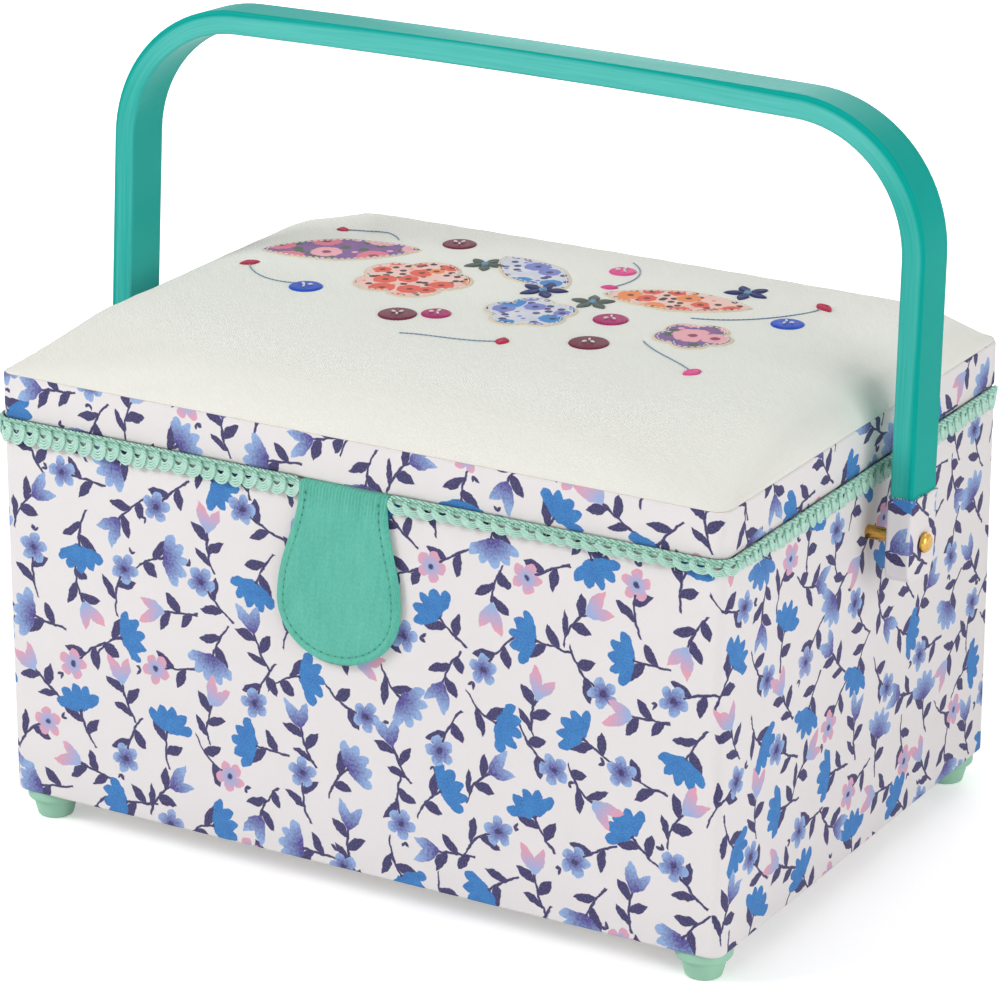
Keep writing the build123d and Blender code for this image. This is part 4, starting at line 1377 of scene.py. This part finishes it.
def leaf_shape(length, width):
    """Outline of a leaf pointed at both ends."""
    def outline(angle):
        c, s = abs(math.cos(angle)), abs(math.sin(angle))
        return 1 / ((c / length) ** LEAF_POWER + (s / width) ** LEAF_POWER) ** (1 / LEAF_POWER)
    return outline


def round_shape(radius):
    """Outline of a round berry."""
    return lambda angle: radius


def lay(outline, place, turn, inset):
    """Places along a shape's edge, that far inside it, on the lid."""
    points = []
    c, s = math.cos(math.radians(turn)), math.sin(math.radians(turn))
    for i in range(91):
        angle = math.tau * i / 90
        radius = outline(angle) - inset
        x, y = radius * math.cos(angle), radius * math.sin(angle)
        points.append(on_lid(place[0] + x * c - y * s, place[1] + x * s + y * c, 0.42))
    return points


def patch_finish(name, ground, large, large_heart, small, accent, cell):
    """Small printed flowers on a ground, a whipped cream edge, and a faint weave."""
    finish = Finish(name)
    cloth = finish.place("UV")
    edge = finish.attribute("edge_distance")
    wash = cloth.noise(0.12, 3.0, "2D")
    wobble = cloth.noise(0.5, 2.0, "2D")
    flat_cells = {"voronoi_dimensions": "2D"}
    sown = {"Vector": cloth, "Scale": 1 / cell, "Randomness": 0.8}
    flower = cloth.node("ShaderNodeTexVoronoi", flat_cells, sown)
    chance, petal_chance, _ = flower.part("Color").channels()
    size = chance * 0.2 + 0.2 + wobble * 0.14
    bloom = (size - flower).inside(0.03)
    heart = (0.09 - flower + wobble * 0.04).inside(0.03)
    sown = {"Vector": cloth, "Scale": 2.6 / cell, "Randomness": 1.0}
    leaflet = cloth.node("ShaderNodeTexVoronoi", flat_cells, sown)
    leaf_chance, _, _ = leaflet.part("Color").channels()
    leaves = lowest((0.27 - leaflet + wobble * 0.1).inside(0.04), (leaf_chance - 0.45).inside(0.02))
    dots = lowest((0.2 - leaflet).inside(0.04), (0.25 - leaf_chance).inside(0.02))
    tone = (wash * 0.4).mixed(ground, large)
    tone = leaves.mixed(tone, small)
    tone = dots.mixed(tone, accent)
    petals = (petal_chance - 0.55).inside(0.02).mixed(large, accent)
    tone = bloom.mixed(tone, petals)
    tone = heart.mixed(tone, large_heart)
    u, v, _ = cloth.channels()
    weave = u.wave(0.6) * v.wave(0.6)
    border = (1.5 - edge).inside(0.4)
    whip = cloth.noise(1.3, 2.0, "2D")
    cream = whip.mixed(rgb(206, 186, 158), rgb(240, 228, 208))
    tone = border.mixed(tone, cream)
    height = weave * 0.3 + border * whip * 2
    return finish.set(
        Base_Color=tone, Roughness=0.85, Specular_IOR_Level=0.2, Sheen_Weight=0.15,
        Normal=height.bump(0.2),
    )


coral_print = patch_finish(
    "coral_print", ground=rgb(242, 214, 204), large=rgb(226, 92, 72), large_heart=rgb(120, 44, 40),
    small=rgb(70, 40, 44), accent=rgb(238, 140, 80), cell=12,
)
indigo_print = patch_finish(
    "indigo_print", ground=rgb(82, 82, 150), large=rgb(224, 120, 140), large_heart=rgb(150, 50, 80),
    small=rgb(74, 96, 70), accent=rgb(236, 170, 180), cell=18,
)
blue_print = patch_finish(
    "blue_print", ground=rgb(234, 228, 228), large=rgb(56, 134, 200), large_heart=rgb(58, 52, 104),
    small=rgb(66, 62, 116), accent=rgb(120, 130, 200), cell=13,
)
white_thread = thread_finish("white_thread", rgb(248, 247, 243), rgb(226, 224, 218))

PATCHES = [
    ("leaf_indigo", leaf_shape(33.8, 16.4), (-105, 47), 28, indigo_print),
    ("blossom_coral", blossom(24), (-58, 26), 14, coral_print),
    ("leaf_blue", leaf_shape(26.2, 13.6), (-20, 58), -32, blue_print),
    ("blossom_blue", blossom(18.5), (5, 11), 40, blue_print),
    ("leaf_coral", leaf_shape(31.6, 14.2), (48, 54), 12, coral_print),
    ("blossom_indigo", blossom(15.8), (75, 17), 0, indigo_print),
]
for patch_name, outline, place, turn, material in PATCHES:
    piece = patch(patch_name, outline, place, turn, material)
    seam = lay(outline, place, turn, inset=2.5)
    run = stitch_row(f"{patch_name}_stitches", seam, UPWARD, pitch=2.7, length=2.1, width=0.55)
    dress(run, white_thread)
    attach(run, "lid")


def satin_finish(name, tone, shade):
    """Satin stitch: close shining threads side by side."""
    finish = Finish(name)
    cloth = finish.place("UV")
    thread = cloth.channels()[0].wave(0.42)
    cloud = cloth.noise(0.4, 2.0, "2D")
    base = (thread * 0.25 + cloud * 0.5 + 0.25).mixed(shade, tone)
    relief = (thread * 0.5).bump(0.14)
    return finish.set(Base_Color=base, Roughness=0.55, Specular_IOR_Level=0.25, Normal=relief)


BURGUNDY = satin_finish("satin_burgundy", rgb(122, 30, 62), rgb(88, 18, 44))
MAGENTA = satin_finish("satin_magenta", rgb(186, 30, 112), rgb(142, 18, 84))
BLUE = satin_finish("satin_blue", rgb(36, 92, 208), rgb(22, 64, 168))
PINK = satin_finish("satin_pink", rgb(240, 96, 160), rgb(212, 66, 132))
RED = satin_finish("satin_red", rgb(200, 44, 84), rgb(164, 28, 62))
NAVY = satin_finish("satin_navy", rgb(52, 62, 120), rgb(36, 44, 88))
SAGE = satin_finish("satin_grey_green", rgb(104, 116, 108), rgb(76, 86, 80))
SKY = satin_finish("satin_sky", rgb(132, 172, 204), rgb(98, 140, 178))


def satin_shape(name, outline, place, turn, material, height):
    """A raised patch of satin stitch with the small steps of its threads along its edge."""
    def ragged(angle):
        return outline(angle) + 0.14 * math.cos(angle * PATCH_SIDES / 2)

    piece = patch(name, ragged, place, turn, material)
    for vertex in piece.data.vertices:
        x, y = vertex.co.x / MM - place[0], vertex.co.y / MM - place[1]
        angle = math.atan2(y, x) - math.radians(turn)
        inward = 1 - min(1, math.hypot(x, y) / outline(angle))
        vertex.co.z += height * min(1, inward * 3) * MM
    return piece


# Place, radius and thread of each berry.
BERRIES = [
    ((-39, -17), 7.8, BURGUNDY), ((-26, -9), 6, MAGENTA), ((37, 19), 7.1, MAGENTA),
    ((99, 50), 6.7, BLUE), ((-90, -4), 6.9, BLUE), ((-67, 78), 7.1, BURGUNDY),
    ((10, 78), 5.6, PINK), ((44, -11), 8, BURGUNDY),
]
SEEDS_FROM = 0.8         # each berry has three long stitches, from here outwards
SEEDS_TO = 2.9
for number, (place, radius, material) in enumerate(BERRIES, 1):
    satin_shape(f"berry_{number}", round_shape(radius), place, number * 40, material, 0.5)
    marks = []
    for turn in (30, 150, 270):
        angle = math.radians(turn + number * 25)
        c, s = math.cos(angle), math.sin(angle)
        line = [on_lid(place[0] + r * c, place[1] + r * s, 1.15) for r in (SEEDS_FROM, SEEDS_TO)]
        pitch = (line[1] - line[0]).length * 0.98
        marks.append(stitch_row("mark", line, UPWARD, pitch, length=2.2, width=1.0))
    seeds = joined(f"berry_{number}_seeds", marks)
    dress(seeds, white_thread)
    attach(seeds, "lid")

FLOWERS = [
    ((-5, 39), 5.6, NAVY), ((20, 35), 5, SAGE), ((67, 78), 5.2, NAVY), ((-43, 58), 4.8, SAGE),
]
for number, (place, radius, material) in enumerate(FLOWERS, 1):
    for petal in range(5):
        angle = math.radians(petal * 72 + number * 20)
        spot = (place[0] + radius * math.cos(angle), place[1] + radius * math.sin(angle))
        shape, turn = leaf_shape(radius * 0.85, radius * 0.45), math.degrees(angle)
        satin_shape(f"flower_{number}_petal_{petal + 1}", shape, spot, turn, material, 0.35)
    satin_shape(f"flower_{number}_middle", round_shape(radius * 0.36), place, 0, SKY, 0.6)

STEMS = [
    [(-128, 13), (-120, 0), (-105, -7), (-92, 0)], [(-26, -37), (-14, -32), (1, -35), (14, -26)],
    [(63, 37), (82, 41), (99, 60), (101, 78)], [(16, 56), (22, 67), (20, 82), (8, 91)],
    [(61, 2), (71, -9), (86, -13), (95, -22)], [(-92, 71), (-101, 82), (-115, 84), (-124, 78)],
]
TIPS = [
    ((-128, 13), 2.9, RED), ((14, -26), 2.7, RED), ((101, 78), 2.9, RED),
    ((16, 56), 2.4, PINK), ((95, -22), 3.0, PINK), ((-124, 78), 2.5, RED),
]
stem_thread = thread_finish("stem_thread", rgb(130, 160, 186), rgb(96, 124, 152))
for number, points in enumerate(STEMS, 1):
    curve = [bezier(points, i / 30) for i in range(31)]
    line = [on_lid(x, y, 0.2) for x, y in curve]
    stem = stitch_row(f"stem_{number}", line, UPWARD, pitch=2.0, length=2.4, width=0.65)
    dress(stem, stem_thread)
    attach(stem, "lid")
for number, (place, radius, material) in enumerate(TIPS, 1):
    shape = leaf_shape(radius * 1.5, radius)
    satin_shape(f"stem_tip_{number}", shape, place, number * 50, material, 0.4)


# ---- handle, feet and metal --------------------------------------------------------------------
# The handle and the feet are moulded in mint plastic with a soft shine. The screws, the tubes they
# pass through and the hinges are polished brass.
def moulded_finish(name, tone, shade, roughness):
    """Moulded plastic, almost even in tone, with a slightly uneven shine."""
    finish = Finish(name)
    place = finish.place()
    flow = place.noise(0.02, 3.0)
    haze = place.noise(0.5, 3.0)
    base = flow.mixed(shade, tone)
    rough = haze * 0.1 + (roughness - 0.05)
    return finish.set(
        Base_Color=base, Roughness=rough, Specular_IOR_Level=0.15, Normal=haze.bump(0.02)
    )


def metal_finish(name, tone, shade, roughness):
    """Polished metal with a faint haze from handling."""
    finish = Finish(name)
    place = finish.place()
    haze = place.noise(0.8, 4.0)
    return finish.set(
        Base_Color=haze.mixed(shade, tone), Metallic=1.0, Roughness=haze * 0.12 + roughness,
        Normal=haze.bump(0.01),
    )


HANDLE_BEND = (123.0, 252.2)      # middle of each bend, across and up
HANDLE_BEND_RADIUS = 53.25
HANDLE_ARCH = 2.5                 # how much the grip's middle stands above its ends
HANDLE_FACE = 4.2                 # half the width of its front and back faces
# Painted reflection on the grip's front and back faces grows between these heights above the bends.
GRIP_PAINTED_REFLECTION = (22, 46)              # above the bends: where those faces get paler, from and to


def handle_finish():
    """Moulded plastic, with painted reflection: the front and back faces are coloured paler in
    streaks, most on the grip above the bends.
    """
    finish = Finish("mint_handle")
    place = finish.place()
    x, _, z = place.channels()
    out_x = (abs(x) - HANDLE_BEND[0]).math("MAXIMUM", 0.0)
    arch = (1 - x * x * (1 / HANDLE_BEND[0] ** 2)).math("MAXIMUM", 0.0) * HANDLE_ARCH
    out_z = (z - arch - HANDLE_BEND[1]).math("MAXIMUM", 0.0)
    across = (out_x * out_x + out_z * out_z).math("SQRT") - HANDLE_BEND_RADIUS
    streak = (across * 0.42).joined(x * 0.012, z * 0.012).noise(1.0, 2.5)
    fine = (across * 2.2).joined(x * 0.03, z * 0.03).noise(1.0, 2.0)
    flow = place.noise(0.02, 3.0)
    haze = place.noise(0.5, 3.0)
    base = flow.mixed(rgb(4, 152, 141), rgb(11, 161, 151))
    face = abs(across).between(HANDLE_FACE + 0.5, HANDLE_FACE - 0.8)
    grip = z.between(HANDLE_BEND[1] + GRIP_PAINTED_REFLECTION[0], HANDLE_BEND[1] + GRIP_PAINTED_REFLECTION[1])
    # Painted reflection: paler streaks on the front and back faces stand in for the light that they
    # reflect.
    pale = face * (0.3 + grip * 0.34 + (streak - 0.5) * 0.6 + (fine - 0.5) * 0.45)
    base = pale.mixed(base, rgb(104, 198, 190))
    rough = haze * 0.1 + 0.34
    return finish.set(
        Base_Color=base, Roughness=rough, Specular_IOR_Level=0.035, Normal=haze.bump(0.02)
    )


dress_nodes(["handle_bail"], handle_finish())
foot_plastic = moulded_finish("mint_foot", rgb(158, 203, 178), rgb(146, 192, 167), 0.45)
brass = metal_finish("brass", rgb(222, 178, 94), rgb(184, 140, 68), 0.18)
steel = metal_finish("steel", rgb(200, 200, 200), rgb(170, 170, 172), 0.25)
for side_name in ("left", "right"):
    dress_nodes([f"foot_front_{side_name}", f"foot_back_{side_name}"], foot_plastic)
    dress_nodes([f"pivot_screw_{side_name}", f"pivot_spacer_{side_name}"], brass)
    hinge = [f"hinge_{side_name}_{part}" for part in ("wall_leaf", "lid_leaf", "pin")]
    dress_nodes(hinge, brass)
    dress_nodes([f"pivot_nut_{side_name}"], steel)
dress_nodes(["hinge_wall_screws", "hinge_lid_screws"], brass)
dress_nodes(["foot_screws", "latch_keeper", "tab_magnet"], steel)


# ---- linings -----------------------------------------------------------------------------------
# The walls and the base are lined with pale satin quilted in diamonds over thin wadding, and
# the lid with the same satin, plain. The battens that carry the tray are wrapped in it too.
def lining_finish():
    """Pale satin, woven close, a little uneven in tone."""
    finish = Finish("lining_satin")
    place = finish.place()
    x, y, z = place.channels()
    weave = (x + y).wave(0.7) * (z + x - y).wave(0.7)
    cloud = place.noise(0.03, 3.0)
    base = (weave * 0.12 + cloud * 0.5).mixed(rgb(216, 219, 212), rgb(238, 239, 234))
    height = weave * 0.4 + cloud * 1.2
    return finish.set(
        Base_Color=base, Roughness=0.5, Specular_IOR_Level=0.4, Sheen_Weight=0.25,
        Normal=height.bump(0.12),
    )


QUILT_PITCH = 26.0       # between the rows of quilting
QUILT_GRID = 5.2
PLAIN_GRID = 9.0
LINING_OUT = 0.25        # how far the satin stands off its board where it is sewn down
LINING_EDGE = 5          # how far from an edge it is drawn flat
LINING_THICKNESS = 0.2
FLOOR_ROOM = 1.4         # left above the floor's lining for its puff
lining_satin = lining_finish()


def quilt_puff(u, v):
    """0 along the sewn diamonds and up to 1 between them."""
    first = abs(math.sin(math.pi * (u + v) / QUILT_PITCH))
    second = abs(math.sin(math.pi * (u - v) / QUILT_PITCH))
    return min(1.0, (first * second) ** 0.5 * 1.15)


def lining_pan(name, low, high, open_ends, inward, puff, grid, quilted):
    """Cloth on the faces of a box, swelled between its quilting: end 0 is its bottom, 1 its top."""
    piece = block(name, low, high)
    edit()
    pick("faces", lambda f, m: any(abs(m.z - (low.z, high.z)[end]) < 0.01 for end in open_ends))
    bpy.ops.mesh.delete(type="FACE")
    for axis in (0, 1, 2):
        reach = high[axis] - low[axis]
        steps = max(1, round(reach / grid))
        cut_planes(axis, [low[axis] + reach * i / steps for i in range(1, steps)])
    bpy.ops.mesh.select_all(action="SELECT")
    if inward:
        bpy.ops.mesh.flip_normals()
    close_edit()
    moves = []
    for vertex in piece.data.vertices:
        x, y, z = vertex.co / MM
        move = Vector()
        for axis, place in enumerate((x, y, z)):
            for limit, sign in ((low[axis], 1), (high[axis], -1)):
                if axis == 2 and (0 if sign > 0 else 1) in open_ends:
                    continue
                if abs(place - limit) < 0.01:
                    others = [i for i in range(3) if i != axis]
                    across = [(x, y, z)[i] for i in others]
                    edges = [abs(c - e[i]) for i, c in zip(others, across) for e in (low, high)]
                    near = min(edges)
                    if quilted:
                        swell = quilt_puff(*across)
                    else:
                        swell = 0.5 + 0.5 * noise.noise(Vector((x, y, z)) * 0.03)
                    out = LINING_OUT + puff * swell * min(1.0, near / LINING_EDGE)
                    move[axis] += sign * out * (1 if inward else -1)
        moves.append(move)
    for vertex, move in zip(piece.data.vertices, moves):
        vertex.co += move * MM
    apply(piece, "SOLIDIFY", thickness=LINING_THICKNESS * MM, offset=-1)
    smooth(piece, 60)
    dress(piece, lining_satin)
    return piece


wall_low, wall_high = node_box("wall_lining")
walls = lining_pan(
    "quilted_wall_lining", wall_low, wall_high,
    open_ends=(0, 1), inward=True, puff=1.0, grid=QUILT_GRID, quilted=True,
)
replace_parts(walls, "wall_lining")
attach(walls, "box")

floor_low, floor_high = node_box("floor_lining")
floor_top = Vector((floor_high.x, floor_high.y, floor_high.z - FLOOR_ROOM))
floor_pad = lining_pan(
    "quilted_floor_lining", floor_low, floor_top,
    open_ends=(), inward=False, puff=1.1, grid=QUILT_GRID, quilted=True,
)
for vertex in floor_pad.data.vertices:
    vertex.co.z = max(vertex.co.z, floor_low.z * MM)
    vertex.co.x = max(floor_low.x * MM, min(floor_high.x * MM, vertex.co.x))
    vertex.co.y = max(floor_low.y * MM, min(floor_high.y * MM, vertex.co.y))
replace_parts(floor_pad, "floor_lining")
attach(floor_pad, "box")

lid_low, lid_high = node_box("lid_lining")
lid_cloth = lining_pan(
    "lid_inner_cloth", lid_low, lid_high,
    open_ends=(0,), inward=True, puff=0.7, grid=PLAIN_GRID, quilted=False,
)
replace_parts(lid_cloth, "lid_lining")
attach(lid_cloth, "lid")
dress_nodes(["tray_ledge_left", "tray_ledge_right"], lining_satin)


# ---- fittings in the lid -----------------------------------------------------------------------
# A stuffed pincushion in mint satin, piped along its edge, and a flat pocket of the lining
# satin, gathered on elastic along its open side.
CUSHION_SWELL = 1.6      # how far the stuffing may push the satin out
CUSHION_ROOM = 1.2       # left for that on each side
CUSHION_CORNER = 8
CUSHION_EDGE = 3.4
CUSHION_GRID = 4
PIPE_RADIUS = 1.1
PIPE_CORNER = 7
POCKET_WAVES = 26        # gathers along the elastic
POCKET_THICKNESS = 0.25
ELASTIC_RADIUS = 0.7
cushion_low, cushion_high = node_box("pincushion")
cushion = block(
    "stuffed_pincushion",
    (cushion_low.x + CUSHION_ROOM, cushion_low.y + CUSHION_ROOM, cushion_low.z + CUSHION_SWELL),
    (cushion_high.x - CUSHION_ROOM, cushion_high.y - CUSHION_ROOM, cushion_high.z),
)
edit()
pick("edges", lambda e, m: upright(e))
bpy.ops.mesh.bevel(offset=CUSHION_CORNER * MM, segments=5, affect="EDGES")
pick("edges", lambda e, m: m.z < cushion_low.z + CUSHION_SWELL + 0.01)
bpy.ops.mesh.bevel(offset=CUSHION_EDGE * MM, segments=4, affect="EDGES")
cut_planes(0, range(-40, 41, CUSHION_GRID))
cut_planes(1, [cushion_low.y + CUSHION_GRID * i for i in range(1, 15)])
close_edit()
inflate(cushion, CUSHION_SWELL, lambda p: p.z > cushion_high.z - 0.5)
apply(cushion, "SUBSURF", levels=1, render_levels=1)
smooth(cushion, 75)


def cushion_finish():
    """Mint satin with long floating threads."""
    finish = Finish("pincushion_satin")
    place = finish.place()
    x, y, _ = place.channels()
    thread = (x + y * 0.3).wave(0.5)
    cloud = place.noise(0.05, 3.0)
    tone = (thread * 0.12 + cloud * 0.6).mixed(rgb(128, 202, 184), rgb(166, 224, 210))
    relief = (thread * 0.4 + cloud).bump(0.1)
    return finish.set(Base_Color=tone, Roughness=0.42, Sheen_Weight=0.3, Normal=relief)


dress(cushion, cushion_finish())
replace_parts(cushion, "pincushion")
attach(cushion, "lid")

pipe_points = []
half_x = (cushion_high.x - cushion_low.x) / 2 - PIPE_RADIUS
half_y = (cushion_high.y - cushion_low.y) / 2 - PIPE_RADIUS
cushion_y = (cushion_low.y + cushion_high.y) / 2
for corner_x, corner_y, start in ((1, 1, 0), (-1, 1, 90), (-1, -1, 180), (1, -1, 270)):
    for turn in range(0, 91, 15):
        angle = math.radians(start + turn)
        x = corner_x * (half_x - PIPE_CORNER) + PIPE_CORNER * math.cos(angle)
        y = corner_y * (half_y - PIPE_CORNER) + PIPE_CORNER * math.sin(angle)
        pipe_points.append((x, cushion_y + y, cushion_high.z - PIPE_RADIUS))
piping = tube([*pipe_points, pipe_points[0]], PIPE_RADIUS)
piping.name = piping.data.name = "pincushion_piping"
smooth(piping, 80)
dress(piping, braid_cotton)
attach(piping, "lid")

pocket_low, pocket_high = node_box("lid_pocket")
wipe_selection()
bpy.ops.mesh.primitive_grid_add(x_subdivisions=208, y_subdivisions=24, size=1)
pocket = settled("gathered_pocket")
for vertex in pocket.data.vertices:
    along, up = vertex.co.x + 0.5, vertex.co.y + 0.5
    x = pocket_low.x + (pocket_high.x - pocket_low.x) * along
    y = pocket_low.y + (pocket_high.y - pocket_low.y) * up
    sewn = min(1, along / 0.03, (1 - along) / 0.03, (1 - up) / 0.08)
    gather = math.exp(-up / 0.35) * 0.75 + 0.2 * math.exp(-(1 - up) / 0.12)
    sway = 1.5 * math.sin(9 * along + 3 * up)
    ripple = 0.5 + 0.5 * math.sin(math.tau * POCKET_WAVES * along + sway)
    hang = 0.2 + (0.35 + 0.85 * ripple * gather) * sewn
    vertex.co = Vector((x, y, pocket_high.z - hang)) * MM
edit()
bpy.ops.mesh.select_all(action="SELECT")
bpy.ops.mesh.flip_normals()
close_edit()
apply(pocket, "SOLIDIFY", thickness=POCKET_THICKNESS * MM, offset=-1)
smooth(pocket, 80)
dress(pocket, lining_satin)
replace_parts(pocket, "lid_pocket")
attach(pocket, "lid")

elastic_points = []
for x in range(-124, 125, 2):
    level = pocket_high.z - 1.1 + 0.25 * math.sin(x * 0.65)
    elastic_points.append((x, pocket_low.y + 1.2, level))
elastic = tube(elastic_points, ELASTIC_RADIUS)
elastic.name = elastic.data.name = "pocket_elastic"
smooth(elastic, 80)
dress(elastic, braid_cotton)
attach(elastic, "lid")


# ---- tray --------------------------------------------------------------------------------------
# Lift-out tray with five compartments, moulded in one piece in milky white plastic. It rests on
# the two battens inside the walls.
tray_plastic = moulded_finish("tray_plastic", rgb(236, 238, 236), rgb(224, 228, 226), 0.35)
dress_nodes(["tray_shell"], tray_plastic)
